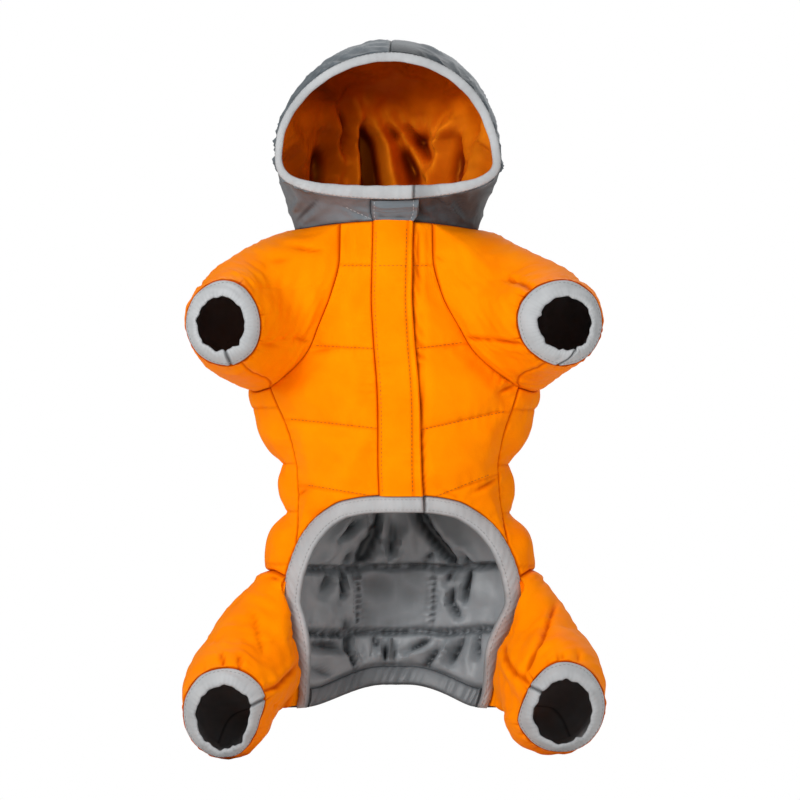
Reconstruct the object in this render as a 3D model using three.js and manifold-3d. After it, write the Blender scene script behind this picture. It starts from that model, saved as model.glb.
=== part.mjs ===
// Dog jumpsuit with a hood, in quilted cloth, filled out as it is worn.
// Millimetres, +Z up the back towards the hood, belly towards -Y. Left and right in the names
// are as seen from the belly side, with left towards -X. The origin is in the middle of the
// trunk, where the wearer holds the garment up.
import Module from 'manifold-3d';
import * as THREE from 'three';

// ---- Driving sizes -------------------------------------------------------------------------

const SEAM_GAP = 0.45;         // between two pieces along a seam
const LAYER_GAP = 0.35;        // between a piece and the one that lies on it
const SHELL = 2.0;             // quilted cloth, at its seams
const NYLON = 1.2;             // plain cloth and linings
const TAPE = 1.9;              // folded binding tape
const LINING_GAP = 1.0;        // between a lining and the cloth it hangs in
const HOOD_LINING_GAP = 1.4;
const BELLY_PUFF = 3.2;        // how far the filling stands out between two quilting seams
const BACK_PUFF = 4.0;
const QUILT_SHARPNESS = 1.4;   // above 1 narrows the puffs and widens the seams between them
const BELLY_FADE = 2.5;        // how fast the belly's inner grid forgets the curve of its lower edge
const LIMB_PUFF = 2.4;
const GATHER = 0.9;            // height of the gathers that the elastic of an edge draws up
const GATHERS_FROM = 0.7;      // where along a limb or the hood they start and are full
const GATHERS_FULL = 0.95;

// Sideways from the midline to the placket's sewn edge, on its left, and to its free edge.
const PLACKET = { sewnTop: 8.2, sewnBottom: 12.5, freeTop: 16.4, freeBottom: 14.6 };
const FLAP_ROUND = 0.9;        // how far the middle of the flap stands up
const BELLY_TAPE_WIDTH = 11;
const BELLY_TAPE_ROUND = 0.9;
const BELLY_TAPE_END = { width: 6, from: -150, to: -190 }; // narrower at the hem, between these heights
const HEM_DEPTH = 12;          // elastic casing inside the back hem
const HEM_SHOWS = 1.6;         // how far it reaches below the outer cloth
const HEM_TUCK = 5;            // its ends lie this far inside the bound edge
const NECK_LEVEL = 111.5;
const NECK_WAVE = 3.2;         // the neck seam is higher at front and back than at its sides

// Trunk sections, from the rump to the neck: half width, and depth before and behind the
// middle plane, all to the inside of the cloth.
const TRUNK = [
  { z: -205, half: 69, front: 39, back: 40 },
  { z: -185, half: 71, front: 43, back: 46 },
  { z: -160, half: 77, front: 48, back: 52 },
  { z: -130, half: 84, front: 50, back: 54 },
  { z: -106, half: 84, front: 49, back: 51 },
  { z: -90, half: 78, front: 47, back: 47 },
  { z: -72, half: 68, front: 46, back: 44 },
  { z: -57, half: 68.5, front: 47, back: 45 },
  { z: -41, half: 69, front: 48, back: 46 },
  { z: -20, half: 80, front: 52, back: 50 },
  { z: 8, half: 91, front: 56, back: 53 },
  { z: 33, half: 90, front: 57, back: 54 },
  { z: 60, half: 84, front: 55, back: 54 },
  { z: 90, half: 71, front: 50, back: 50 },
  { z: 112, half: 58, front: 46, back: 44 },
  { z: 120, half: 57, front: 45, back: 43 },
];

// Seams seen from the belly side: sideways from the midline, and height.
const SIDE_SEAM = [
  { x: 67, z: -93 },
  { x: 64.3, z: -75.5 },
  { x: 63, z: -61 },
  { x: 63, z: -44 },
  { x: 65.5, z: -29 },
  { x: 70, z: -14 },
  { x: 75, z: -2 },
  { x: 78.5, z: 8 },
];
const BELLY_RAGLAN = [
  { x: 78.5, z: 8 },
  { x: 62, z: 21 },
  { x: 52, z: 32 },
  { x: 44.5, z: 47 },
  { x: 35, z: 68 },
  { x: 29.5, z: 91 },
  { x: 29, z: 114 },
];
// Bound edge of the belly opening, from the midline round to the hem.
const BOUND_EDGE = [
  { x: 0, z: -61.3 },
  { x: 15.8, z: -61.5 },
  { x: 35.8, z: -64.5 },
  { x: 49, z: -71.5 },
  { x: 59.5, z: -81.5 },
  { x: 67, z: -93 },
  { x: 74, z: -113 },
  { x: 76, z: -129 },
  { x: 70.5, z: -147 },
  { x: 65, z: -164 },
  { x: 61.5, z: -184 },
  { x: 60.5, z: -195.5 },
];
const EDGE_BESIDE_FLAP = 1;    // rows of that table
const EDGE_AT_SIDE_SEAM = 5;
const EDGE_AT_HIP = 6;
const EDGE_AT_HEM = 11;

// Seams round the back: degrees round the trunk from the middle of the belly, and height.
const UNDERARM = [
  { angle: 59.6, z: 8 },
  { angle: 75, z: 5.5 },
  { angle: 93, z: 10 },
];
const BACK_RAGLAN = [
  { angle: 93, z: 10 },
  { angle: 109, z: 30 },
  { angle: 127, z: 70 },
  { angle: 141, z: 112.2 },
];
const HIP_SEAM = [
  { angle: 61.8, z: -113 },
  { angle: 76, z: -109 },
  { angle: 95, z: -109 },
  { angle: 108, z: -112 },
];
const LEG_BACK = [
  { angle: 108, z: -112 },
  { angle: 113.5, z: -127 },
  { angle: 115, z: -150 },
  { angle: 113, z: -195.5 },
];

// Heights of the quilting seams.
const BELLY_QUILTS = [-93, -58, -16, 33, 86, 120];
const BACK_QUILTS = [-190, -149, -106, -72, -41, -5, 33, 74, 120];
const SLEEVE_QUILTS = [0, 38, 73, 112];
const LEG_QUILTS = [-235, -196, -152, -108];

// A limb's rings from the trunk to the cuff: centre, radii across and up, and the way the
// ring faces, in degrees outwards and downwards from straight ahead.
const SLEEVE_RINGS = [
  { x: 93, y: -42, z: 52, across: 36, up: 39, outwards: 30, downwards: 2 },
  { x: 102, y: -76, z: 50, across: 28.5, up: 31, outwards: 20, downwards: 2 },
  { x: 107.5, y: -101, z: 49.5, across: 24.5, up: 26, outwards: 10, downwards: 0 },
];
const LEG_RINGS = [
  { x: 94, y: -32, z: -171, across: 29, up: 33, outwards: 26, downwards: 16 },
  { x: 103.5, y: -66, z: -190, across: 28.5, up: 34, outwards: 14, downwards: 14 },
  { x: 108.5, y: -93, z: -198, across: 25, up: 28, outwards: 4, downwards: 12 },
];
// Where a limb's seam corners lie round its rings, in degrees up from the outside.
const SLEEVE_TURNS = { neckFront: 134, underarm: 248, back: 296, neckBack: 404 };
const LEG_TURNS = { hip: 128, hemFront: 228, hemBack: 296, hipBack: 400 };
// Cuff openings: radii of the hole, how far the tape stands forward, and how far it is off centre.
const SLEEVE_CUFF = { across: 16.5, up: 17.2, forward: 8, outwards: 2.6, downwards: 0.6 };
const LEG_CUFF = { across: 18, up: 21, forward: 8, outwards: 0.3, downwards: 3.2 };
const CUFF_ROUND = 2.2;

// The hood is an elbow from the neck to the face. Its sections turn about a crosswise line
// before the chin: degrees of turn from the face, the section's distance from that line at the
// chin, at its widest and at the crown, and its half width.
const ELBOW = { y: -58, z: 113 };
const HOOD = [
  { turn: 0, chin: 16, middle: 41, crown: 109, half: 71.5 },
  { turn: 12, chin: 15, middle: 42, crown: 117, half: 71.5 },
  { turn: 24, chin: 14, middle: 45, crown: 126.5, half: 71.5 },
  { turn: 40, chin: 13, middle: 50, crown: 132, half: 71 },
  { turn: 56, chin: 12, middle: 54, crown: 129, half: 69 },
  { turn: 72, chin: 12, middle: 57, crown: 116, half: 64 },
  { turn: 90, chin: 12, middle: 58, crown: 102, half: 58 },
];
const CHIN_SQUARE = 0.7;       // below 1 makes the chin of the face opening flatter than an ellipse
const FACE_TAPE = { top: 6.4, side: 5.4, chin: 8.4 };
const FACE_TAPE_OUTSIDE = 1;   // how much of it lies outside the hood's edge
const FACE_TAPE_ROUND = 1.2;
const HOOD_FOLDS = [
  { angle: 62, width: 17, depth: 4 },
  { angle: 104, width: 15, depth: 6 },
  { angle: 139, width: 13, depth: 7 },
  { angle: 166, width: 12, depth: 6 },
  { angle: 193, width: 12, depth: 7 },
  { angle: 221, width: 13, depth: 6 },
  { angle: 257, width: 15, depth: 5 },
  { angle: 300, width: 17, depth: 4 },
];

// The filled garment sways a little sideways along its length, while its limbs stay put. Its
// right leg is held a little higher than its left.
const SWAY = [
  { z: -205, x: -4 },
  { z: -187, x: 1 },
  { z: -160, x: 2.5 },
  { z: -128, x: 5.6 },
  { z: -95, x: 5.2 },
  { z: -64, x: 3.4 },
  { z: -40, x: 2 },
  { z: -10, x: 1.2 },
  { z: 8, x: 0.2 },
  { z: 40, x: -3 },
  { z: 70, x: -5 },
  { z: 115, x: -5 },
  { z: 150, x: -3.5 },
  { z: 230, x: 0 },
];
const SWAY_ENDS = { from: 74, to: 112 };
const LEG_LIFT = 2;
const LEG_LIFT_ENDS = { from: -90, to: -140 };

// Steps along each seam, shared by the pieces on both its sides.
const STEPS = {
  flap: 2, belly: 5, sideSeam: 13, raglan: 10, underarm: 4, backRaglan: 9, neckSide: 6, across: 12,
  hipEdge: 2, hip: 4, legEdge: 9, legBack: 8, hem: 4, limb: 9, hood: 10,
};

const FINISH = {
  orange: { color: 0xff8c0a, roughness: 0.55, metalness: 0 },
  satin: { color: 0xf07a10, roughness: 0.4, metalness: 0 },
  gray: { color: 0x6a6a6a, roughness: 0.5, metalness: 0 },
  dark: { color: 0x4a4a4c, roughness: 0.5, metalness: 0 },
  tape: { color: 0xbcbcbc, roughness: 0.6, metalness: 0 },
};

// ---- Tables and seams ----------------------------------------------------------------------

const radians = THREE.MathUtils.degToRad;
const degrees = THREE.MathUtils.radToDeg;
const mix = THREE.MathUtils.lerp;

// Value of a column of a table at one value of its key, on a smooth line that never swings
// past the rows.
function follow(rows, key, column, at) {
  const last = rows.length - 1;
  const x = THREE.MathUtils.clamp(at, rows[0][key], rows[last][key]);
  let i = 0;
  while (i < last - 1 && x > rows[i + 1][key]) i += 1;
  const slope = (k) => (rows[k + 1][column] - rows[k][column]) / (rows[k + 1][key] - rows[k][key]);
  const tangent = (k) => {
    if (k === 0) return slope(0);
    if (k === last) return slope(last - 1);
    const before = slope(k - 1);
    const after = slope(k);
    return before * after > 0 ? (2 * before * after) / (before + after) : 0;
  };
  const step = rows[i + 1][key] - rows[i][key];
  const t = (x - rows[i][key]) / step;
  const rise = rows[i + 1][column] - rows[i][column];
  const a = step * tangent(i) - rise;
  const b = rise - step * tangent(i + 1);
  return rows[i][column] + rise * t + t * (1 - t) * (a * (1 - t) + b * t);
}

// Degrees round the trunk of a place that lies x sideways of the midline, on the belly side.
function angleAt(x, z) {
  const half = follow(TRUNK, 'z', 'half', z);
  return degrees(Math.asin(THREE.MathUtils.clamp(x / half, -1, 1)));
}

const neckline = (angle) => NECK_LEVEL + NECK_WAVE * Math.cos(2 * radians(angle));

// Lower edge of the outer cloth, which rises in the middle of the back.
const HEM_ENDS = -195.5;
const HEM_RISE = 14;
function hemline(angle) {
  const fromMiddle = Math.abs(180 - angle);
  return HEM_ENDS + HEM_RISE * (1 - THREE.MathUtils.smoothstep(fromMiddle, 6, 54));
}

// Edges of the placket, sideways of the midline at one height.
function alongPlacket(top, bottom, z) {
  const low = BOUND_EDGE[0].z;
  return mix(bottom, top, (z - low) / (neckline(0) - low));
}
const sewnEdge = (z) => -alongPlacket(PLACKET.sewnTop, PLACKET.sewnBottom, z);
const freeEdge = (z) => alongPlacket(PLACKET.freeTop, PLACKET.freeBottom, z);

// Stations at equal steps along part of a table of places, as { angle, z }.
function seam(rows, steps, from = 0, to = rows.length - 1) {
  const places = rows.map((row) => ({ across: row.x ?? row.angle, z: row.z, along: 0 }));
  for (let i = 1; i < places.length; i += 1) {
    const run = Math.hypot(places[i].across - places[i - 1].across, places[i].z - places[i - 1].z);
    places[i].along = places[i - 1].along + run;
  }
  return Array.from({ length: steps + 1 }, (_, k) => {
    const along = mix(places[from].along, places[to].along, k / steps);
    const across = follow(places, 'along', 'across', along);
    const z = follow(places, 'along', 'z', along);
    return { angle: rows[0].x === undefined ? across : angleAt(across, z), z };
  });
}

// Stations on a level line such as the neck, between two angles.
function levelSeam(line, from, to, steps) {
  return Array.from({ length: steps + 1 }, (_, k) => {
    const angle = mix(from, to, k / steps);
    return { angle, z: line(angle) };
  });
}

const backwards = (stations) => [...stations].reverse();
const acrossBack = (stations) => stations.map(({ angle, z }) => ({ angle: 360 - angle, z }));
const joined = (...runs) => runs.reduce((all, run) => [...all, ...run.slice(1)]);

const seams = {
  side: seam(SIDE_SEAM, STEPS.sideSeam),
  raglan: seam(BELLY_RAGLAN, STEPS.raglan),
  underarm: seam(UNDERARM, STEPS.underarm),
  backRaglan: seam(BACK_RAGLAN, STEPS.backRaglan),
  hipEdge: seam(BOUND_EDGE, STEPS.hipEdge, EDGE_AT_SIDE_SEAM, EDGE_AT_HIP),
  arch: seam(BOUND_EDGE, STEPS.belly, EDGE_BESIDE_FLAP, EDGE_AT_SIDE_SEAM),
  legEdge: seam(BOUND_EDGE, STEPS.legEdge, EDGE_AT_HIP, EDGE_AT_HEM),
  hip: seam(HIP_SEAM, STEPS.hip),
  legBack: seam(LEG_BACK, STEPS.legBack),
};
// Corners where seams meet.
seams.raglan[0] = seams.side[STEPS.sideSeam];
seams.underarm[0] = seams.side[STEPS.sideSeam];
seams.hip[0] = seams.legEdge[0];
seams.hipEdge[STEPS.hipEdge] = seams.legEdge[0];
seams.arch[STEPS.belly] = seams.hipEdge[0];
seams.side[0] = seams.hipEdge[0];
seams.backRaglan[0] = seams.underarm[STEPS.underarm];
seams.legBack[0] = seams.hip[STEPS.hip];
const neckFront = seams.raglan[STEPS.raglan].angle;
const neckBack = seams.backRaglan[STEPS.backRaglan].angle;
const hemFront = seams.legEdge[STEPS.legEdge].angle;
const hemBack = seams.legBack[STEPS.legBack].angle;
seams.raglan[STEPS.raglan].z = neckline(neckFront);
seams.backRaglan[STEPS.backRaglan].z = neckline(neckBack);
seams.legEdge[STEPS.legEdge].z = hemline(hemFront);
seams.legBack[STEPS.legBack].z = hemline(hemBack);
seams.neckSide = levelSeam(neckline, neckFront, neckBack, STEPS.neckSide);
seams.neckBack = levelSeam(neckline, neckBack, 360 - neckBack, STEPS.across);
seams.hem = levelSeam(hemline, hemFront, hemBack, STEPS.hem);

// ---- Surfaces ------------------------------------------------------------------------------

function trunkPoint({ angle, z }) {
  const turn = radians(angle);
  const half = follow(TRUNK, 'z', 'half', z);
  const depth = follow(TRUNK, 'z', Math.cos(turn) > 0 ? 'front' : 'back', z);
  return new THREE.Vector3(half * Math.sin(turn), -depth * Math.cos(turn), z);
}

function trunkNormal({ angle, z }) {
  const round = trunkPoint({ angle: angle + 0.5, z }).sub(trunkPoint({ angle: angle - 0.5, z }));
  const up = trunkPoint({ angle, z: z + 1 }).sub(trunkPoint({ angle, z: z - 1 }));
  return round.cross(up).normalize();
}

// Places inside four seams: each is the blend of the two pairs of facing seams, less the blend
// of the corners. Rows run up, columns run round the trunk. The shape of the bottom seam dies
// away upwards, faster with a higher `fade`.
function patch(bottom, top, right, left, fade = 1) {
  const columns = bottom.length - 1;
  const rows = right.length - 1;
  return right.map((_, j) => bottom.map((__, i) => {
    const s = i / columns;
    const v = 1 - (1 - j / rows) ** fade;
    const place = {};
    for (const key of ['angle', 'z']) {
      const below = mix(bottom[0][key], bottom[columns][key], s);
      const above = mix(top[0][key], top[columns][key], s);
      const corners = mix(below, above, v);
      place[key] = mix(bottom[i][key], top[i][key], v) + mix(right[j][key], left[j][key], s) - corners;
    }
    return place;
  }));
}

// A grid of cloth: where the inside of the wall lies, and which way its outside faces.
function onTrunk(places) {
  return places.map((row) => row.map((place) => ({
    ...place, point: trunkPoint(place), normal: trunkNormal(place),
  })));
}

// Normals of a grid from its own neighbours, for the rows from `first` on.
function faceOutwards(grid, closed, first = 0) {
  const rows = grid.length;
  const columns = grid[0].length;
  grid.forEach((row, j) => row.forEach((cell, i) => {
    if (j < first) return;
    const before = closed ? (i + columns - 1) % columns : Math.max(i - 1, 0);
    const after = closed ? (i + 1) % columns : Math.min(i + 1, columns - 1);
    const round = row[after].point.clone().sub(row[before].point);
    const up = grid[Math.min(j + 1, rows - 1)][i].point.clone().sub(grid[Math.max(j - 1, 0)][i].point);
    cell.normal = round.cross(up).normalize();
  }));
  return grid;
}

// How far the filling lifts the cloth between the quilting seams, from 0 on a seam to 1.
function quilting(lines, z) {
  const i = lines.findIndex((line, k) => k > 0 && z <= line);
  if (i < 1) return 0;
  const u = THREE.MathUtils.clamp((z - lines[i - 1]) / (lines[i] - lines[i - 1]), 0, 1);
  return Math.sin(Math.PI * u) ** QUILT_SHARPNESS;
}

// 0 on the edges of a grid and 1 from `reach` of its width inwards.
function awayFromEdges(s, v, reach = 0.32) {
  const near = Math.min(s, 1 - s, v, 1 - v) / reach;
  return THREE.MathUtils.smoothstep(near, 0, 1);
}

// Gathers drawn up at the far edge of a grid: every second station stands out.
const gathers = (station, v) => (
  GATHER * (Math.round(station) % 2) * THREE.MathUtils.smoothstep(v, GATHERS_FROM, GATHERS_FULL)
);

// ---- Solids --------------------------------------------------------------------------------

// Where a point of the straight garment lies once it sways.
function swayed(x, y, z) {
  const { smoothstep } = THREE.MathUtils;
  const limb = smoothstep(Math.abs(x), SWAY_ENDS.from, SWAY_ENDS.to);
  const low = smoothstep(-z, -LEG_LIFT_ENDS.from, -LEG_LIFT_ENDS.to);
  return [x + follow(SWAY, 'z', 'x', z) * (1 - limb), y, z + Math.sign(x) * LEG_LIFT * limb * low];
}

// Closed wall from a grid: its inner points lie `inset` off the grid, its outer ones stand
// `thickness` and the local puff beyond them. Its edges are drawn back by `trim`. A left-hand
// piece is the mirror image.
function wall(grid, {
  thickness, inset = 0, puff = () => 0, closed = false, mirrored = false, trim = SEAM_GAP,
}) {
  const rows = grid.length;
  const columns = grid[0].length;
  const side = mirrored ? -1 : 1;
  const cells = grid.map((row) => row.map((cell) => (
    { ...cell, start: cell.point, point: cell.point.clone() }
  )));
  // Draws the cells of one edge back towards those beside them, square to the edge.
  const drawBack = (edge, beside) => edge.forEach((cell, k) => {
    const count = edge.length;
    const before = edge[closed ? (k + count - 1) % count : Math.max(k - 1, 0)].start;
    const after = edge[closed ? (k + 1) % count : Math.min(k + 1, count - 1)].start;
    const along = after.clone().sub(before).normalize();
    const away = beside[k].start.clone().sub(cell.point);
    cell.point.add(away.addScaledVector(along, -away.dot(along)).setLength(trim));
  });
  const column = (i) => cells.map((row) => row[i]);
  drawBack(cells[0], cells[1]);
  drawBack(cells[rows - 1], cells[rows - 2]);
  if (!closed) {
    drawBack(column(0), column(1));
    drawBack(column(columns - 1), column(columns - 2));
  }
  const positions = [];
  const layer = (offset) => cells.forEach((row, j) => row.forEach((cell, i) => {
    const s = closed ? i / columns : i / (columns - 1);
    const { x, y, z } = cell.point.clone().addScaledVector(cell.normal, offset(s, j / (rows - 1), cell));
    positions.push(...swayed(side * x, y, z));
  }));
  layer(() => inset);
  layer((s, v, cell) => inset + thickness + puff(s, v, cell));

  const triangles = [];
  const outer = rows * columns;
  const index = (j, i) => j * columns + (i % columns);
  const quad = (a, b, c, d) => triangles.push(a, b, c, a, c, d);
  const spans = closed ? columns : columns - 1;
  for (let j = 0; j < rows - 1; j += 1) {
    for (let i = 0; i < spans; i += 1) {
      const [a, b, c, d] = [index(j, i), index(j, i + 1), index(j + 1, i + 1), index(j + 1, i)];
      quad(outer + a, outer + b, outer + c, outer + d);
      quad(a, d, c, b);
    }
  }
  for (let i = 0; i < spans; i += 1) {
    quad(index(0, i), index(0, i + 1), outer + index(0, i + 1), outer + index(0, i));
    const [a, b] = [index(rows - 1, i), index(rows - 1, i + 1)];
    quad(outer + b, b, a, outer + a);
  }
  if (!closed) {
    for (let j = 0; j < rows - 1; j += 1) {
      quad(index(j + 1, 0), index(j, 0), outer + index(j, 0), outer + index(j + 1, 0));
      const [a, b] = [index(j, columns - 1), index(j + 1, columns - 1)];
      quad(b, outer + b, outer + a, a);
    }
  }
  if (mirrored) {
    for (let k = 0; k < triangles.length; k += 3) {
      [triangles[k], triangles[k + 1]] = [triangles[k + 1], triangles[k]];
    }
  }
  const geometry = new THREE.BufferGeometry();
  geometry.setAttribute('position', new THREE.Float32BufferAttribute(positions, 3));
  geometry.setIndex(triangles);
  return geometry;
}

const wasm = await Module();
wasm.setup();

// One solid from walls that meet face to face.
function fused(walls) {
  const solids = walls.map((geometry) => new wasm.Manifold(new wasm.Mesh({
    numProp: 3,
    vertProperties: geometry.attributes.position.array,
    triVerts: new Uint32Array(geometry.index.array),
  })));
  const { vertProperties, triVerts } = solids.reduce((whole, solid) => whole.add(solid)).getMesh();
  const geometry = new THREE.BufferGeometry();
  geometry.setAttribute('position', new THREE.BufferAttribute(vertProperties, 3));
  geometry.setIndex(new THREE.BufferAttribute(triVerts, 1));
  return geometry;
}

const jumpsuit = new THREE.Group();

function sew(name, geometry, finish) {
  const mesh = new THREE.Mesh(geometry, new THREE.MeshStandardMaterial(FINISH[finish]));
  mesh.name = name;
  jumpsuit.add(mesh);
}

// ---- Belly panels, placket and back --------------------------------------------------------

// Belly panel from its middle edge to the side seam and the raglan seam. `inner` gives where its
// middle edge lies at a height, sideways of the midline and towards this panel.
function bellyGrid(inner) {
  const outer = joined(seams.side, seams.raglan);
  const edgeZ = BOUND_EDGE[0].z;
  const underFlap = levelSeam(() => edgeZ, angleAt(inner(edgeZ), edgeZ), seams.arch[0].angle, STEPS.flap);
  const bottom = joined(underFlap, seams.arch);
  const beside = angleAt(PLACKET.freeTop + 1, neckline(0));
  const neckUnderFlap = levelSeam(neckline, angleAt(inner(neckline(0)), neckline(0)), beside, STEPS.flap);
  const top = joined(neckUnderFlap, levelSeam(neckline, beside, neckFront, STEPS.belly));
  const low = outer[0].z;
  const high = outer[outer.length - 1].z;
  const middle = outer.map((station) => {
    const z = mix(edgeZ, top[0].z, (station.z - low) / (high - low));
    return { angle: angleAt(inner(z), z), z };
  });
  return onTrunk(patch(bottom, top, middle, outer, BELLY_FADE));
}

const bellyPuff = (s, v, { z }) => BELLY_PUFF * quilting(BELLY_QUILTS, z) * awayFromEdges(s, v);

function addBelly() {
  const left = bellyGrid((z) => -sewnEdge(z));
  const right = bellyGrid(sewnEdge);
  sew('front_left', wall(left, { thickness: SHELL, puff: bellyPuff, mirrored: true }), 'orange');
  // The right panel runs on under the placket, flat.
  const besideFlap = STEPS.flap / (STEPS.flap + STEPS.belly);
  const flatUnderFlap = (s, v, cell) => (
    bellyPuff(s, v, cell) * THREE.MathUtils.smoothstep(s, besideFlap, besideFlap + 0.2)
  );
  sew('front_right', wall(right, { thickness: SHELL, puff: flatUnderFlap }), 'orange');
}

// Flap over the middle of the belly, lying on the right panel.
function addPlacket() {
  const rows = 22;
  const bottomZ = BOUND_EDGE[0].z;
  const places = Array.from({ length: rows + 1 }, (_, j) => {
    const z = mix(bottomZ, neckline(0), j / rows);
    return [0, 0.33, 0.67, 1].map((s) => ({ angle: angleAt(mix(sewnEdge(z), freeEdge(z), s), z), z }));
  });
  const puff = (s, v) => FLAP_ROUND * Math.sin(Math.PI * s) * awayFromEdges(0.5, v, 0.04);
  const flap = wall(onTrunk(places), { thickness: SHELL, inset: SHELL + LAYER_GAP, puff });
  sew('placket', flap, 'orange');
}

// The back in three parts that meet face to face: the shoulders between the sleeves, the middle
// between the side seams, and the rump between the legs.
function backGrids() {
  const lineFrom = ({ angle, z }) => levelSeam(() => z, angle, 360 - angle, STEPS.across);
  const shoulderLine = lineFrom(seams.backRaglan[0]);
  const hipLine = lineFrom(seams.legBack[0]);
  const shoulders = patch(shoulderLine, seams.neckBack, seams.backRaglan, acrossBack(seams.backRaglan));
  const side = joined(backwards(seams.hipEdge), seams.side);
  const middle = patch(
    joined(seams.hip, hipLine, acrossBack(backwards(seams.hip))),
    joined(seams.underarm, shoulderLine, acrossBack(backwards(seams.underarm))),
    side,
    acrossBack(side),
  );
  const hem = levelSeam(hemline, hemBack, 360 - hemBack, STEPS.across);
  const rumpSide = backwards(seams.legBack);
  const rump = patch(hem, hipLine, rumpSide, acrossBack(rumpSide));
  return [shoulders, middle, rump].map(onTrunk);
}

function addBack() {
  const [shoulders, middle, rump] = backGrids();
  // The filling lies flat along the edges of the whole panel and along the lines where its
  // parts meet, which are quilting seams.
  const puff = (s, v, { z }) => {
    const sides = THREE.MathUtils.smoothstep(Math.min(s, 1 - s), 0, 0.12);
    const ends = THREE.MathUtils.smoothstep(Math.min(v, 1 - v), 0, 0.15);
    return BACK_PUFF * quilting(BACK_QUILTS, z) * sides * ends;
  };
  const walls = [shoulders, middle, rump].map((grid) => wall(grid, { thickness: SHELL, puff, trim: 0 }));
  sew('back', fused(walls), 'orange');

  // Lining of the lower back, from the hem to just above the belly opening.
  const lined = { thickness: NYLON, inset: -NYLON - LINING_GAP, trim: 0 };
  const shown = [rump, middle.slice(0, STEPS.hipEdge + 6)];
  sew('back_lining', fused(shown.map((grid) => wall(grid, lined))), 'gray');
}

// Elastic casing that lies inside the lining all round the hem, gathered, from one end of the
// bound edge to the other.
function addBackHem() {
  const columns = 36;
  const front = angleAt(BOUND_EDGE[EDGE_AT_HEM].x - HEM_TUCK, hemline(hemFront));
  const places = [0, 0.5, 1].map((v) => Array.from({ length: columns + 1 }, (_, i) => {
    const angle = mix(front, 360 - front, i / columns);
    return { angle, z: hemline(angle) - HEM_SHOWS + v * HEM_DEPTH };
  }));
  const inset = -NYLON - LINING_GAP - LAYER_GAP - TAPE;
  const gathered = onTrunk(places).map((row) => row.map((cell, i) => ({
    ...cell, point: cell.point.clone().addScaledVector(cell.normal, -GATHER * (i % 2)),
  })));
  sew('back_hem', wall(gathered, { thickness: TAPE, inset }), 'gray');
}

// ---- Binding of the belly opening ----------------------------------------------------------

// Strip inside the bound edge. Its stations run from one end of the edge to the other; `lift`
// raises the length that the flap carries.
function tapeStrip(stations, lift) {
  const front = stations.map(({ angle, z }) => {
    const { x } = trunkPoint({ angle, z });
    return new THREE.Vector2(x, z);
  });
  const grid = front.map((edge, k) => {
    const along = front[Math.min(k + 1, front.length - 1)].clone().sub(front[Math.max(k - 1, 0)]).normalize();
    const inwards = new THREE.Vector2(-along.y, along.x).negate();
    const narrowing = THREE.MathUtils.smoothstep(-edge.y, -BELLY_TAPE_END.from, -BELLY_TAPE_END.to);
    const width = mix(BELLY_TAPE_WIDTH, BELLY_TAPE_END.width, narrowing);
    return [0, 0.5, 1].map((v) => {
      const spot = edge.clone().addScaledVector(inwards, v * width);
      const place = { angle: angleAt(spot.x, spot.y), z: spot.y };
      const normal = trunkNormal(place);
      return { ...place, point: trunkPoint(place).addScaledVector(normal, lift(spot.x)), normal };
    });
  });
  return grid;
}

function addBellyBinding() {
  const rounded = (s, v) => BELLY_TAPE_ROUND * Math.sin(Math.PI * v);
  const edge = joined(seams.arch, seams.hipEdge, seams.legEdge);

  // Right length, from the join beside the flap down to the hem.
  const right = tapeStrip(edge, () => 0);
  sew('belly_binding_right', wall(transposed(right), { thickness: TAPE, puff: rounded }), 'tape');

  // Left length, mirrored. It starts past the midline, where it binds the flap's end and is
  // raised with it.
  const edgeZ = BOUND_EDGE[0].z;
  const flapEnd = [0, 0.2, 0.4, 0.6, 0.8, 0.97].map((s) => (
    { angle: -angleAt(mix(PLACKET.freeBottom, -PLACKET.sewnBottom, s), edgeZ), z: edgeZ }
  ));
  const beside = BOUND_EDGE[EDGE_BESIDE_FLAP].x;
  const run = beside - PLACKET.sewnBottom;
  const raise = (x) => (SHELL + LAYER_GAP) * THREE.MathUtils.smoothstep(beside - x, 0, run);
  const left = tapeStrip([...flapEnd, ...edge], raise);
  const strip = { thickness: TAPE, puff: rounded, mirrored: true };
  sew('belly_binding_left', wall(transposed(left), strip), 'tape');
}

// Swaps rows and columns so that a strip that runs down has its rows running up.
function transposed(grid) {
  return grid[0].map((_, i) => grid.map((row) => row[i])).reverse();
}

// ---- Sleeves and legs ----------------------------------------------------------------------

function ringPoint(ring, turn) {
  const out = radians(ring.outwards);
  const down = radians(ring.downwards);
  const across = new THREE.Vector3(Math.cos(out), Math.sin(out), 0);
  const level = new THREE.Vector3(Math.sin(out), -Math.cos(out), 0);
  const ahead = level.multiplyScalar(Math.cos(down)).setZ(-Math.sin(down));
  const up = ahead.clone().cross(across);
  return new THREE.Vector3(ring.x, ring.y, ring.z)
    .addScaledVector(across, ring.across * Math.cos(radians(turn)))
    .addScaledVector(up, ring.up * Math.sin(radians(turn)));
}

// Cloth from a closed seam on the trunk through the rings to the cuff.
function limbGrid(stations, turns, rings) {
  const columns = stations.map((station, k) => {
    const line = new THREE.CatmullRomCurve3(
      [trunkPoint(station), ...rings.map((ring) => ringPoint(ring, turns[k]))], false, 'centripetal');
    return line.getPoints(STEPS.limb);
  });
  const grid = Array.from({ length: STEPS.limb + 1 }, (_, j) => columns.map((points, k) => ({
    point: points[j], normal: trunkNormal(stations[k]), turn: turns[k],
  })));
  faceOutwards(grid, true, 1);
  grid[1].forEach((cell, k) => cell.normal.add(grid[0][k].normal).normalize());
  return grid;
}

// Turn of each station, spread evenly between the corners.
function spreadTurns(corners) {
  return corners.flatMap(({ steps, from, to }) => (
    Array.from({ length: steps }, (_, k) => mix(from, to, k / steps))
  ));
}

const withoutLast = (stations) => stations.slice(0, -1);

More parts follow.
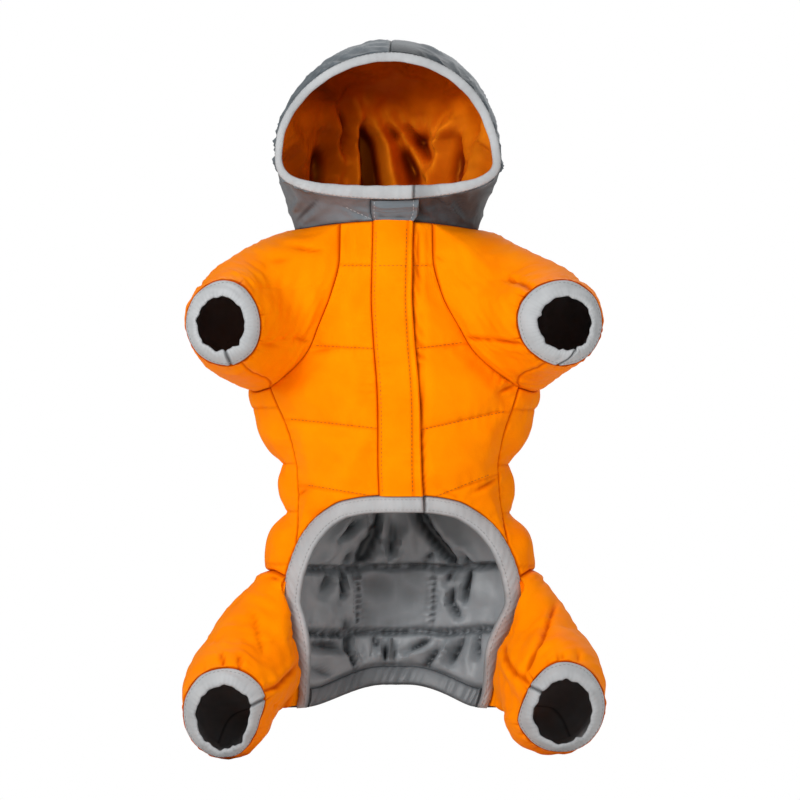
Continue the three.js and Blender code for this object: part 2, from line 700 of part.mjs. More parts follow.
function sleeveGrid() {
  const raglanDown = backwards(seams.raglan);
  const stations = [
    ...withoutLast(raglanDown), ...withoutLast(seams.underarm), ...withoutLast(seams.backRaglan),
    ...withoutLast(backwards(seams.neckSide)),
  ];
  const { neckFront: a, underarm: b, back: c, neckBack: d } = SLEEVE_TURNS;
  const turns = spreadTurns([
    { steps: STEPS.raglan, from: a, to: b },
    { steps: STEPS.underarm, from: b, to: c },
    { steps: STEPS.backRaglan, from: c, to: d },
    { steps: STEPS.neckSide, from: d, to: a + 360 },
  ]);
  return limbGrid(stations, turns, SLEEVE_RINGS);
}

function legGrid() {
  const stations = [
    ...withoutLast(seams.legEdge), ...withoutLast(seams.hem), ...withoutLast(backwards(seams.legBack)),
    ...withoutLast(backwards(seams.hip)),
  ];
  const { hip: a, hemFront: b, hemBack: c, hipBack: d } = LEG_TURNS;
  const turns = spreadTurns([
    { steps: STEPS.legEdge, from: a, to: b },
    { steps: STEPS.hem, from: b, to: c },
    { steps: STEPS.legBack, from: c, to: d },
    { steps: STEPS.hip, from: d, to: a + 360 },
  ]);
  return limbGrid(stations, turns, LEG_RINGS);
}

// Tape round a cuff, narrowing from the limb's end to the opening.
function cuffGrid(grid, ring, cuff) {
  const stations = grid[grid.length - 1];
  const hole = {
    ...ring,
    x: ring.x + cuff.outwards,
    y: ring.y - cuff.forward,
    z: ring.z - cuff.downwards,
    across: cuff.across,
    up: cuff.up,
  };
  const rows = [0, 0.35, 0.7, 1].map((v) => stations.map(({ turn }) => {
    const point = ringPoint(ring, turn).lerp(ringPoint(hole, turn), v);
    point.y -= CUFF_ROUND * Math.sin(Math.PI * v);
    return { point, turn };
  }));
  return faceOutwards(rows, true);
}

function addLimb(name, grid, rings, cuff, quilts) {
  const columns = grid[0].length;
  const puff = (s, v, { point }) => (
    LIMB_PUFF * quilting(quilts, point.z) * awayFromEdges(0.5, v, 0.42) + gathers(s * columns, v)
  );
  const last = rings[rings.length - 1];
  const tape = cuffGrid(grid, last, cuff);
  const lining = grid.slice(-4);
  for (const [side, mirrored] of [['left', true], ['right', false]]) {
    sew(`${name}_${side}`, wall(grid, { thickness: SHELL, puff, closed: true, mirrored }), 'orange');
    sew(`${name}_cuff_${side}`, wall(tape, { thickness: TAPE, closed: true, mirrored, trim: 0 }), 'tape');
    const lined = { thickness: NYLON, inset: -NYLON - LINING_GAP, closed: true, mirrored };
    sew(`${name}_lining_${side}`, wall(lining, lined), 'dark');
  }
}

// ---- Hood ----------------------------------------------------------------------------------

// Point of the hood round from the chin by `angle`, and from 0 at the neck to 1 at the face.
function hoodPoint(angle, rise) {
  const turn = 90 * (1 - rise);
  const at = (column) => follow(HOOD, 'turn', column, turn);
  const swing = Math.cos(radians(angle));
  const reach = swing > 0
    ? mix(at('middle'), at('chin'), swing ** mix(1, CHIN_SQUARE, rise))
    : mix(at('middle'), at('crown'), -swing);
  const settle = (neckline(angle) - ELBOW.z) * (1 - rise) ** 2;
  return new THREE.Vector3(
    at('half') * Math.sin(radians(angle)),
    ELBOW.y + reach * Math.sin(radians(turn)),
    ELBOW.z + reach * Math.cos(radians(turn)) + settle,
  );
}

// Angles of the hood's stations from the middle edge of one half to the middle of the back.
function hoodAngles(inner) {
  const front = levelSeam(neckline, angleAt(inner, neckline(0)), neckFront, STEPS.belly);
  const back = seams.neckBack.slice(0, STEPS.across / 2 + 1);
  return joined(front, seams.neckSide, back).map(({ angle }) => angle);
}

function hoodGrid(angles, closed, firstRise = 0) {
  const grid = Array.from({ length: STEPS.hood + 1 }, (_, j) => angles.map((angle) => ({
    angle, point: hoodPoint(angle, mix(firstRise, 1, j / STEPS.hood)), rise: j / STEPS.hood,
  })));
  faceOutwards(grid, closed);
  grid[0].forEach((cell) => {
    if (firstRise === 0) cell.normal = trunkNormal({ angle: cell.angle, z: NECK_LEVEL });
  });
  return grid;
}

function addHood() {
  const neck = neckline(0);
  for (const [side, inner, mirrored] of [['left', -sewnEdge(neck), true], ['right', sewnEdge(neck), false]]) {
    const half = hoodGrid(hoodAngles(inner), false);
    const columns = half[0].length - 1;
    const puckers = (s, v) => gathers(s * columns, v);
    sew(`hood_${side}`, wall(half, { thickness: NYLON, puff: puckers, mirrored }), 'gray');
  }
  const flapAngles = [0, 0.33, 0.67, 1].map((s) => angleAt(mix(sewnEdge(neck), freeEdge(neck), s), neck));
  const flap = hoodGrid(flapAngles, false);
  sew('placket_neck', wall(flap, { thickness: SHELL, inset: NYLON + LAYER_GAP + GATHER }), 'gray');

  // Lining, with soft folds that stand into the hood and run down to the neck.
  const angles = Array.from({ length: 32 }, (_, i) => i * 11.25);
  const lining = hoodGrid(angles, true, 0.06);
  const folds = ({ angle, rise }) => HOOD_FOLDS.reduce((sum, fold) => {
    const away = (angle - fold.angle) / fold.width;
    const ends = Math.sin(Math.PI * Math.min(rise * 1.15, 1)) ** 0.8;
    return sum + fold.depth * Math.exp(-4 * away * away) * ends;
  }, 0);
  lining.forEach((row) => row.forEach((cell) => cell.point.addScaledVector(cell.normal, -folds(cell))));
  const lined = { thickness: NYLON, inset: -NYLON - HOOD_LINING_GAP, closed: true };
  sew('hood_lining', wall(lining, lined), 'satin');

  // Tape round the face, lying before the edge of the hood.
  const tapeAngles = Array.from({ length: 40 }, (_, i) => i * 9);
  const rows = [0, 0.5, 1].map((v) => tapeAngles.map((angle) => {
    const point = hoodPoint(angle, 1);
    const swing = Math.cos(radians(angle));
    const middle = swing > 0 ? FACE_TAPE.chin : FACE_TAPE.top;
    const width = v * mix(FACE_TAPE.side, middle, Math.abs(swing)) - FACE_TAPE_OUTSIDE;
    const towards = new THREE.Vector3(-Math.sin(radians(angle)), 0, swing).normalize();
    point.addScaledVector(towards, width);
    point.y -= LAYER_GAP + FACE_TAPE_ROUND * Math.sin(Math.PI * v);
    return { angle, point };
  }));
  sew('hood_binding', wall(faceOutwards(rows, true), { thickness: TAPE, closed: true }), 'tape');
}

addBelly();
addPlacket();
addBack();
addBackHem();
addBellyBinding();
addLimb('sleeve', sleeveGrid(), SLEEVE_RINGS, SLEEVE_CUFF, SLEEVE_QUILTS);
addLimb('leg', legGrid(), LEG_RINGS, LEG_CUFF, LEG_QUILTS);
addHood();

export default jumpsuit;
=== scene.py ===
from functools import reduce
from math import radians

import bpy
import numpy as np
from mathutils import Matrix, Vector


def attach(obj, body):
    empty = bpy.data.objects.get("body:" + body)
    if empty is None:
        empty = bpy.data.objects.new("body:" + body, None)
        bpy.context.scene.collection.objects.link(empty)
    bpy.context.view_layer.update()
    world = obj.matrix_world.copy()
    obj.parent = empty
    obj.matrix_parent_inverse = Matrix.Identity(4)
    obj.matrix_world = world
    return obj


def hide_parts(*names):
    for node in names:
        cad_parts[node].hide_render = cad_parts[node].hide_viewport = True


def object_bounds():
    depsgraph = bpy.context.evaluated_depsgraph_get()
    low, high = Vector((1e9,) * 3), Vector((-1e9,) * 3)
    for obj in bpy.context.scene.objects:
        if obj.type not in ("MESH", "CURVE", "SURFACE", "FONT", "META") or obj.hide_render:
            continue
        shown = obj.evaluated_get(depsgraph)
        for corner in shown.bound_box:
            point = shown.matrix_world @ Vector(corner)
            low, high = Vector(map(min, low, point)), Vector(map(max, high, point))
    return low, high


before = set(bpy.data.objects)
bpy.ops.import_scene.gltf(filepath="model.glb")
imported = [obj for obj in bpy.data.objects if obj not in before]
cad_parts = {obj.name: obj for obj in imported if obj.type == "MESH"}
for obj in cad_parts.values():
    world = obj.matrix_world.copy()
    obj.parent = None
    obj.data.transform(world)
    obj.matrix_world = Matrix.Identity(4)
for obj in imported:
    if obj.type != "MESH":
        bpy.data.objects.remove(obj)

CAD_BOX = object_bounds()

bl_info = {
    "name": "Quilted dog jumpsuit",
    "version": (1, 0, 0),
    "blender": (4, 5, 0),
    "location": "View3D > Sidebar > Jumpsuit",
    "description": "Sews a hooded, quilted dog jumpsuit, filled out as it is worn, on its solids",
    "category": "Object",
}

# ---- The cut: the same sizes as the solids, in millimetres and degrees ----
# +Z runs up the back to the hood and the belly faces -Y. Left and right are as seen from the
# belly side. Left pieces are cut as right ones and mirrored.

SHELL = 2.0                    # quilted cloth with its filling, at a seam
NYLON = 1.2                    # plain cloth and linings
TAPE = 1.9                     # folded binding tape
LAYER_GAP = 0.35               # between a piece and the one it lies on
ROLLED = 0.6                   # thickness of cloth right at its seam
CLEFT = 0.4                    # how far each edge of a seam is drawn in
LINING_GAP = 1.0               # between a lining and the cloth outside it
HOOD_LINING_GAP = 1.4
SKIN = 0.8                     # thin, unfilled lining

# Trunk: height, half width, depth before and behind the middle plane.
TRUNK = np.array([
    (-205, 69, 39, 40), (-185, 71, 43, 46), (-160, 77, 48, 52), (-130, 84, 50, 54),
    (-106, 84, 49, 51), (-90, 78, 47, 47), (-72, 68, 46, 44), (-57, 68.5, 47, 45),
    (-41, 69, 48, 46), (-20, 80, 52, 50), (8, 91, 56, 53), (33, 90, 57, 54),
    (60, 84, 55, 54), (90, 71, 50, 50), (112, 58, 46, 44), (120, 57, 45, 43),
], float)
HALF, FRONT, BACK = 1, 2, 3

# Seams seen from the belly side: sideways from the midline, and height.
SIDE_SEAM = np.array([
    (67, -93), (64.3, -75.5), (63, -61), (63, -44), (65.5, -29), (70, -14), (75, -2), (78.5, 8),
], float)
RAGLAN = np.array([
    (78.5, 8), (62, 21), (52, 32), (44.5, 47), (35, 68), (29.5, 91), (29, 113.1),
], float)
BOUND_EDGE = np.array([
    (0, -61.3), (15.8, -61.5), (35.8, -64.5), (49, -71.5), (59.5, -81.5), (67, -93),
    (74, -113), (76, -129), (70.5, -147), (65, -164), (61.5, -184), (60.5, -195.5),
], float)
BESIDE_FLAP, AT_SIDE_SEAM, AT_HIP, AT_HEM = 1, 5, 6, 11
# Seams round the back: degrees from the middle of the belly, and height.
UNDERARM = np.array([(59.6, 8), (75, 5.5), (93, 10)], float)
BACK_RAGLAN = np.array([(93, 10), (109, 30), (127, 70), (141, 112.2)], float)
HIP_SEAM = np.array([(61.8, -113), (76, -109), (95, -109), (108, -112)], float)
LEG_BACK = np.array([(108, -112), (113.5, -127), (115, -150), (113, -195.5)], float)

# Quilting seams of a belly panel: height beside the placket and at the side, left and right.
BELLY_QUILTS = {
    "left": [(-93, -93), (-62, -54), (-18, -12), (33, 35), (86, 86), (120, 120)],
    "right": [(-93, -93), (-65, -47), (-19, -7), (33, 37), (86, 86), (120, 120)],
}
FLAP_QUILT = 86
BACK_QUILTS = [-190, -149, -106, -72, -41, -5, 33, 74, 120]

# The limbs. Seams: the ones round the limb, and the way each is followed. Rings: centre, radii
# across and up, degrees faced outwards and downwards. Turns: where the seam's corners lie round the
# rings, in degrees up from the outside. Cuff: radii of its hole, and how far it stands forward,
# outwards and downwards. Quilts: heights of its quilting seams. Gathers: how many at the cuff, left
# and right. Faced: rows inside it that are faced with the outer cloth. Inseam: the seams before the
# corner where its own seam starts. Sunk: how far the upper side has sunk and the lower side has
# risen. Join: where the cuff tape is joined, in degrees at its outer edge and at its mouth. Notches
# of the cuff: degrees, width and depth.
LIMBS = {
    "sleeve": {
        "seams": (("raglan", -1), ("underarm", 1), ("back_raglan", 1), ("neck_side", -1)),
        "rings": [(93, -42, 52, 36, 39, 30, 2), (102, -76, 50, 28.5, 31, 20, 2),
                  (107.5, -101, 49.5, 24.5, 26, 10, 0)],
        "turns": (134, 248, 296, 404), "cuff": (16.5, 17.2, 8, 2.6, 0.6),
        "quilts": [0, 38, 73, 112], "gathers": (25, 27), "faced": 0, "inseam": ("raglan",),
        "sunk": {"left": (2.2, 0.0), "right": (5.0, 3.2)},
        "join": {"left": (262, 262), "right": (261, 292)},
        "notches": {
            "left": ((228, 5, 0.05), (243, 4, -0.05), (284, 7, 0.05), (318, 4, 0.04),
                     (20, 6, -0.05), (70, 5, 0.03)),
            "right": ((225, 6, 0.04), (262, 5, -0.05), (318, 4, 0.05), (345, 6, -0.03),
                      (110, 6, 0.04), (160, 4, -0.04)),
        },
    },
    "leg": {
        "seams": (("leg_edge", 1), ("hem", 1), ("leg_back", -1), ("hip", -1)),
        "rings": [(94, -32, -171, 29, 33, 26, 16), (103.5, -66, -190, 28.5, 34, 14, 14),
                  (108.5, -93, -198, 25, 28, 4, 12)],
        "turns": (128, 228, 296, 400), "cuff": (18, 21, 8, 0.3, 3.2),
        "quilts": [-235, -196, -152, -108], "gathers": (23, 25), "faced": 1,
        "inseam": ("leg_edge", "hem"),
        "sunk": {"left": (0.0, 0.0), "right": (0.0, 0.0)},
        "join": {"left": (165, 162), "right": (150, 142)},
        "notches": {
            "left": ((230, 6, 0.06), (250, 4, -0.05), (278, 5, 0.05), (305, 6, -0.04),
                     (40, 6, 0.03), (120, 8, -0.03)),
            "right": ((150, 6, 0.05), (205, 6, -0.04), (262, 5, 0.04), (300, 5, -0.05),
                      (62, 5, 0.03), (96, 4, -0.04)),
        },
    },
}

# Hood sections: degrees of turn from the face, distance from the elbow line at the chin, at the
# widest and at the crown, half width.
ELBOW_Y, ELBOW_Z = -58, 113
HOOD = np.array([
    (0, 16, 41, 109, 71.5), (12, 15, 42, 117, 71.5), (24, 14, 45, 126.5, 71.5),
    (40, 13, 50, 132, 71), (56, 12, 54, 129, 69), (72, 12, 57, 116, 64), (90, 12, 58, 102, 58),
], float)
CHIN, MIDDLE, CROWN, HOOD_HALF = 1, 2, 3, 4
CHIN_SQUARE = 0.7
FACE_DRAWN = 2.4               # how far the face is drawn to the left above its corners
FACE_TAPE = {"top": 5.3, "side": 4.7, "chin": 8.3, "outside": 0.3, "round": 0.9}

PLACKET = {"sewn_top": 8.2, "sewn_bottom": 12.5, "free_top": 16.4, "free_bottom": 14.6}
BELLY_TAPE = {"width": 11.0, "end": 6.0, "from": -150, "to": -190}
HEM = {"ends": -195.5, "rise": 14, "level": 6, "falls": 54, "depth": 12, "shows": 1.6, "tuck": 5}
NECK = {"height": 111.5, "wave": 3.2}

# Sideways sway of the filled garment at each height, and the lift of its right leg.
SWAY = np.array([
    (-205, -4), (-187, 1), (-160, 2.5), (-128, 5.6), (-95, 5.2), (-64, 3.4), (-40, 2), (-10, 1.2),
    (8, 0.2), (40, -3), (70, -5), (115, -5), (150, -3.5), (230, 0),
], float)
LEG_LIFT = 2

# Steps of the solids along each seam. A finer grid takes a whole number of steps for each.
STEPS = {
    "flap": 2, "belly": 5, "side": 13, "raglan": 10, "underarm": 4, "back_raglan": 9,
    "neck_side": 6, "across": 12, "hip_edge": 2, "hip": 4, "leg_edge": 9, "leg_back": 8,
    "hem": 4, "limb": 9, "hood": 10,
}

# Points along and across the pieces with grids of their own, or only across where one is given.
PLACKET_UP, PLACKET_ACROSS, PLACKET_NECK_UP = 170, 27, 81
BELLY_TAPE_ACROSS, CUFF_ACROSS = 17, 15
HEM_GRID, SATIN_GRID, FACE_GRID = (420, 19), (300, 97), (520, 15)

# Folds placed one by one. Each row is a line, from one place to another, then the fold's width
# and its height; a negative height is a trough. Places are sideways from the midline and height.
BELLY_FOLDS = {
    "left": [
        (72, -44, 62, -43, 1.8, -1.3), (70, -64, 55, -56, 2, -1.1), (58, -77, 45, -67, 2.4, -1),
        (26, 111, 26, 88, 2.6, -0.6), (34, 33, 50, 31, 2, -1), (29, -45, 23, -26, 5, 0.7),
        (61, 0, 41, 13, 6, 0.7), (16, 64, 22, 45, 6, -0.6), (50, 38, 42, 31, 4, -1.1),
        (22, -24, 46, -21, 2.4, -0.5), (50, -58, 38, -40, 4, -0.6),
    ],
    "right": [
        (66, -41, 71, -38, 1.8, -1.4), (63, -50, 46, -59, 1.8, -1.4), (66, 5, 77, 10, 2, -1.4),
        (61, 1, 75, 3, 5, -1), (20, 108, 20, 64, 2, -1.3), (21, 58, 17, -13, 2, -1.1),
        (39, -64, 26, -56, 2, -0.9), (34, -26, 47, -38, 5, 0.7), (30, 32, 43, 35, 1.8, -0.7),
        (66, 8, 70, -2, 5, -1.2), (30, 84, 38, 60, 3.5, 0.5),
    ],
}
SLEEVE_FOLDS = {
    "left": [
        (61, 96, 39, 94, 2.2, -1.2), (75, 86, 61, 88, 2.8, -0.9), (61, 40, 51, 37, 2.2, -1.2),
        (87, 37, 70, 35, 2.6, -0.9), (56, 82, 54, 46, 12, -1), (46, 74, 48, 58, 5, 0.8),
    ],
    "right": [
        (78, 76, 87, 73, 1.8, -1.7), (87, 73, 94, 68, 1.8, -1.8), (47, 40, 64, 39, 1.8, -1.5),
        (64, 39, 89, 36, 1.8, -1.5), (27, 92, 38, 89, 2.4, -0.9), (72, 56, 84, 56, 5, -0.8),
        (53, 64, 72, 64, 9, 1), (64, 83, 70, 83, 2, 0.5),
    ],
}
LEG_FOLDS = {
    "left": [
        (65, -166, 71, -175, 1.9, -1.7), (71, -175, 79, -184, 1.9, -1.8),
        (79, -184, 87, -187, 1.9, -1.6), (66, -186, 70, -200, 2.6, -1.1),
        (70, -200, 78, -213, 2.6, -1.3), (104, -134, 97, -128, 2.2, -1.1),
        (93, -138, 90, -150, 1.8, -1.1), (90, -150, 86, -163, 1.8, -1.1),
        (110, -162, 109, -170, 1.6, -1.5), (100, -164, 100, -171, 1.6, -1.5),
        (95, -154, 82, -172, 7, -1.8), (83, -114, 76, -115, 1.7, -1.3),
        (75, -141, 70, -142, 1.7, -1.1), (88, -106, 94, -118, 3, -1.2),
        (81, -134, 73, -157, 5, 1.1), (115, -152, 102, -146, 5, 0.9),
        (79, -214, 73, -209, 1.6, -1.3),
    ],
    "right": [
        (101, -134, 97, -147, 1.9, -1.7), (97, -147, 93, -160, 1.9, -1.9),
        (93, -160, 84, -177, 1.9, -1.8), (92, -145, 86, -165, 4.5, 1),
        (70, -157, 73, -167, 2, -1.5), (73, -167, 79, -176, 2, -1.7), (79, -176, 87, -183, 2, -1.7),
        (66, -167, 73, -181, 3, -1.5), (73, -181, 79, -193, 3, -1.5), (79, -193, 89, -209, 3, -1.5),
        (84, -101, 79, -109, 2, -1.6), (79, -109, 73, -112, 2, -1.6), (91, -113, 97, -120, 2, -1.4),
        (106, -134, 110, -136, 2, -1.3), (78, -186, 70, -160, 4, 0.9),
        (106, -146, 103, -168, 8, 0.9), (116, -165, 118, -171, 1.5, -1),
        (108, -166, 107, -171, 1.5, -1),
    ],
}
# Folds of the satin inside the hood, hanging from the crown to the neck.
SATIN_FOLDS = [
    (-27, 195, -30, 173, 3.4, 8), (-30, 173, -23, 122, 3.4, 8), (-45, 187, -45, 166, 3.2, 7),
    (-45, 166, -39, 150, 3.2, 7), (-37, 189, -37, 160, 3, -7), (-52, 170, -52, 120, 5.5, -10),
    (-25, 182, -17, 160, 4, -9), (-17, 160, -12, 120, 4, -9), (-15, 166, -7, 120, 5.5, -12),
    (-12, 180, -1, 160, 4.2, 8), (-1, 160, 12, 120, 4.2, 8), (0, 175, 7, 166, 2.6, -4),
    (12, 168, 20, 120, 6, -9), (-1, 189, 13, 166, 2.8, 8), (13, 166, 45, 128, 2.8, 8),
    (14, 177, 30, 150, 2.4, -6), (30, 163, 44, 126, 2.6, 4), (28, 187, 27, 166, 2.8, -5),
    (27, 166, 32, 150, 2.8, -5), (51, 187, 42, 166, 3.2, 10), (42, 166, 43, 122, 3.2, 10),
    (45, 189, 52, 186, 2.4, -3), (51, 166, 45, 122, 5, -6), (31, 189, 37, 166, 5, 3),
    (-5, 198, -20, 184, 7, 3), (18, 202, 31, 192, 8, 2), (-58, 186, -63, 160, 6, 3),
    (-33, 202, -44, 189, 4, -3), (61, 174, 64, 156, 3, 4),
]
# Folds and gathers of the lining of the lower back.
LINING_FOLDS = [
    (-15, -72, -19, -85, 2.6, -5), (-19, -85, -30, -102, 4.6, -6), (-30, -76, -44, -86, 2.4, -3.5),
    (-22, -73, -22, -82, 1.8, -2), (13, -72, 23, -86, 3.4, -6), (23, -86, 35, -100, 3.4, -6),
    (24, -92, 16, -101, 2.4, -2.5), (-6, -77, -9, -95, 5, -2), (-14, -90, -9, -102, 2.4, 2.2),
    (-9, -102, -3, -96, 2.4, 2.2), (-3, -96, 1, -83, 2.4, 2.2), (6, -76, 6, -93, 5, 2.5),
    (29, -77, 47, -96, 7, 2.5), (-39, -77, -54, -93, 6, 2), (41, -95, 47, -103, 2.6, -3.5),
    (34, -97, 36, -104, 2, -2), (-35, -95, -40, -104, 2.6, -3), (-46, -93, -59, -102, 3, 1.5),
    (-42, -107, -41, -123, 2.4, -3), (-48, -108, -57, -123, 3.4, -2.4),
    (-41, -123, -44, -129, 2, -1.4), (-36, -108, -34, -115, 2, -2), (-52, -128, -51, -144, 7, 1.6),
    (36, -106, 30, -116, 2.2, -2.4), (41, -106, 39, -115, 1.8, -2), (46, -106, 43, -128, 2.6, -3.4),
    (36, -118, 33, -128, 2.4, -2.2), (33, -128, 40, -140, 2.4, -2.2), (53, -115, 56, -134, 7, 1.6),
    (27, -122, 29, -138, 4, 1), (-38, -142, -35, -161, 2.6, -3.2), (-35, -161, -28, -173, 2, -2.6),
    (-33, -161, -26, -172, 1.8, 2), (-61, -157, -41, -159, 3.6, -2.2), (-55, -166, -39, -169, 5, 2),
    (-62, -172, -46, -177, 3, -1.6), (-17, -152, -13, -161, 2.2, -2.6),
    (-13, -157, -14, -169, 2.4, 2.4), (-10, -154, -7, -170, 1.6, -2.4),
    (-6, -154, -6, -169, 1.6, 2.2), (-4, -154, -3, -170, 1.8, -2.2),
    (-23, -155, -20, -169, 2.6, 1.6), (21, -154, 7, -163, 2.8, -3), (15, -160, 6, -169, 3.2, 2.4),
    (28, -160, 16, -177, 3.2, -2.8), (44, -154, 37, -170, 3, -2.4), (55, -150, 57, -167, 2, -2.2),
    (36, -157, 28, -172, 3.4, 1.6), (50, -160, 50, -177, 4, 1.4), (-24, -112, -12, -122, 9, -0.7),
]
LINING_SEAMS = (-105.6, -149)
LINING_TILT = 0.024            # how much higher these seams run to the right
PATCH_SIDES = (-30.5, 21)
BACK_REACH = 1.2               # millimetres round the back for each degree
# Folds of the back: millimetres round it from the middle of the back, and height.
BACK_FOLDS = [
    (84, 6, 62, 24, 4, -0.8), (-88, 4, -60, 30, 4, -0.9), (30, 104, 12, 84, 4, -0.6),
    (-28, 106, -16, 82, 4, -0.7), (70, -96, 48, -84, 4, -0.9), (-74, -100, -44, -90, 4, -0.8),
    (20, -176, 12, -158, 5, -0.6), (-34, -180, -22, -160, 5, 0.6), (60, -20, 40, -34, 5, 0.6),
    (-56, -50, -34, -60, 4, -0.6), (8, 20, -14, 4, 6, 0.5), (46, -130, 30, -140, 5, 0.6),
    (-105, -8, -107, -98, 15, 1.7),
]
# Folds of the gray cloth below the face.
NECK_FOLDS = {
    "left": [
        (44, 129, 58, 114, 2, -1.9), (53, 131, 62, 120, 2, 1.4), (27, 124, 10, 116, 1.4, -0.8),
        (36, 127, 55, 111, 2.4, 1.2), (65, 131, 62, 119, 2, -1.5), (58, 144, 56, 124, 3, 0.7),
        (30, 129, 20, 120, 3, 0.6),
    ],
    "right": [
        (32, 128, 42, 116, 2.6, -2.6), (38, 129, 47, 117, 2.6, 2), (43, 130, 52, 118, 2.4, -2.6),
        (24, 126, 31, 117, 2.4, 1.4), (56, 132, 53, 119, 2.4, -1.7), (18, 125, 22, 116, 2.2, -1.6),
    ],
}
# Folds of the placket's end, below the face.
FLAP_FOLDS = [
    (-7, 132, 6, 116, 2.6, 0.7), (-6, 124, 12, 124, 1.2, 0.5), (-4, 120, 11, 119, 1.4, -0.6),
    (-2, 128, 8, 126, 2, 0.5),
]
# Folds of the satin all round the hood: degrees from the chin, width in degrees, height.
HOOD_SIDE_FOLDS = [
    (62, 17, 4), (104, 15, 6), (139, 13, 5), (166, 12, 4), (193, 12, 4), (221, 13, 5),
    (257, 15, 5), (300, 17, 4),
]
FACE_LAP = 16.4                # the tape's end stands here, right of the midline


# ---- Tables, seams and surfaces ----


def smooth(x, low=0.0, high=1.0):
    """0 below low, 1 above high, and an even S between them."""
    t = np.clip((x - low) / (high - low), 0, 1)
    return t * t * (3 - 2 * t)


def unit(vectors):
    """Vectors made one long."""
    return vectors / np.maximum(np.linalg.norm(vectors, axis=-1, keepdims=True), 1e-9)


def follow(rows, column, at):
    """Value of a table's column on a cubic through its rows, whose slope at a row is the harmonic
    mean of the slopes on both sides, or level where they turn, so it never swings past a row."""
    x, y = rows[:, 0], rows[:, column]
    at = np.clip(at, x[0], x[-1])
    slope = np.diff(y) / np.diff(x)
    product = slope[:-1] * slope[1:]
    total = np.where(product > 0, slope[:-1] + slope[1:], 1.0)
    inner = np.where(product > 0, 2 * product / total, 0.0)
    tangent = np.concatenate([slope[:1], inner, slope[-1:]])
    i = np.clip(np.searchsorted(x, at, side="right") - 1, 0, len(x) - 2)
    step = x[i + 1] - x[i]
    t = (at - x[i]) / step
    rise = y[i + 1] - y[i]
    a = step * tangent[i] - rise
    b = rise - step * tangent[i + 1]
    return y[i] + rise * t + t * (1 - t) * (a * (1 - t) + b * t)


def angle_at(x, z):
    """Degrees round the trunk of a place x sideways of the midline, from the trunk's half width."""
    return np.degrees(np.arcsin(np.clip(x / follow(TRUNK, HALF, z), -1, 1)))


def neckline(angle):
    """Neck seam: a level that rises and falls twice round the neck."""
    return NECK["height"] + NECK["wave"] * np.cos(2 * np.radians(angle))


def hemline(angle):
    """Lower edge of the outer cloth: level at its ends, with one soft rise at the middle back."""
    return HEM["ends"] + HEM["rise"] * (1 - smooth(np.abs(180 - angle), HEM["level"], HEM["falls"]))


def trunk_point(places):
    """Point of the trunk at (angle, height): an ellipse whose depth differs before and behind."""
    turn, z = np.radians(places[..., 0]), places[..., 1]
    depth = np.where(np.cos(turn) > 0, follow(TRUNK, FRONT, z), follow(TRUNK, BACK, z))
    return np.stack([follow(TRUNK, HALF, z) * np.sin(turn), -depth * np.cos(turn), z], -1)


def trunk_normal(places):
    """Outward direction on the trunk, square to small steps round it and up it."""
    round_step, up_step = np.array([0.5, 0.0]), np.array([0.0, 1.0])
    across = trunk_point(places + round_step) - trunk_point(places - round_step)
    up = trunk_point(places + up_step) - trunk_point(places - up_step)
    return unit(np.cross(across, up))


def stations(rows, steps, first=0, last=None, by_x=False):
    """Places at equal steps along part of a table, measured along its own rows."""
    last = len(rows) - 1 if last is None else last
    run = np.concatenate([[0], np.cumsum(np.hypot(*np.diff(rows, axis=0).T))])
    table = np.column_stack([run, rows])
    at = np.linspace(run[first], run[last], steps + 1)
    across, z = follow(table, 1, at), follow(table, 2, at)
    return np.column_stack([angle_at(across, z) if by_x else across, z])


def level(line, start, end, steps):
    """Places on a level line, such as the neck, between two angles."""
    angle = np.linspace(start, end, steps + 1)
    return np.column_stack([angle, np.broadcast_to(line(angle), angle.shape)])


# Each seam's table, which part of it, and whether it is seen from the belly side.
SEAMS = {
    "side": (SIDE_SEAM, 0, None, True), "raglan": (RAGLAN, 0, None, True), "underarm": (UNDERARM,),
    "back_raglan": (BACK_RAGLAN,), "belly": (BOUND_EDGE, BESIDE_FLAP, AT_SIDE_SEAM, True),
    "hip_edge": (BOUND_EDGE, AT_SIDE_SEAM, AT_HIP, True), "hip": (HIP_SEAM,),
    "leg_edge": (BOUND_EDGE, AT_HIP, AT_HEM, True), "leg_back": (LEG_BACK,),
}
# Seams that run level, and the angles they run between.
LEVEL_SEAMS = {
    "neck_side": (neckline, angle_at(*RAGLAN[-1]), BACK_RAGLAN[-1, 0]),
    "across": (neckline, BACK_RAGLAN[-1, 0], 360 - BACK_RAGLAN[-1, 0]),
    "hem": (hemline, angle_at(BOUND_EDGE[-1, 0], HEM["ends"]), LEG_BACK[-1, 0]),
}


def joined(*runs):
    """Runs of places end to end, each shared place once."""
    return np.concatenate([runs[0], *[run[1:] for run in runs[1:]]])


def across_back(run):
    """The same run on the other side of the back."""
    return np.column_stack([360 - run[:, 0], run[:, 1]])


def seam(name, finer):
    """Places along a named seam, with a whole number of steps for each step of the solids."""
    n = STEPS[name] * finer
    if name in LEVEL_SEAMS:
        line, start, end = LEVEL_SEAMS[name]
        return level(line, start, end, n)
    rows, *part = SEAMS[name]
    return stations(rows, n, *part)


def patch(bottom, top, right, left, fade=1.0):
    """Places inside four seams: the blend of both pairs of facing seams, less the blend of the
    corners. Rows run up and columns run round the trunk."""
    s = np.linspace(0, 1, len(bottom))[None, :, None]
    v = 1 - (1 - np.linspace(0, 1, len(right))[:, None, None]) ** fade
    corners = ((1 - v) * ((1 - s) * bottom[0] + s * bottom[-1])
               + v * ((1 - s) * top[0] + s * top[-1]))
    return (1 - v) * bottom + v * top + (1 - s) * right[:, None] + s * left[:, None] - corners


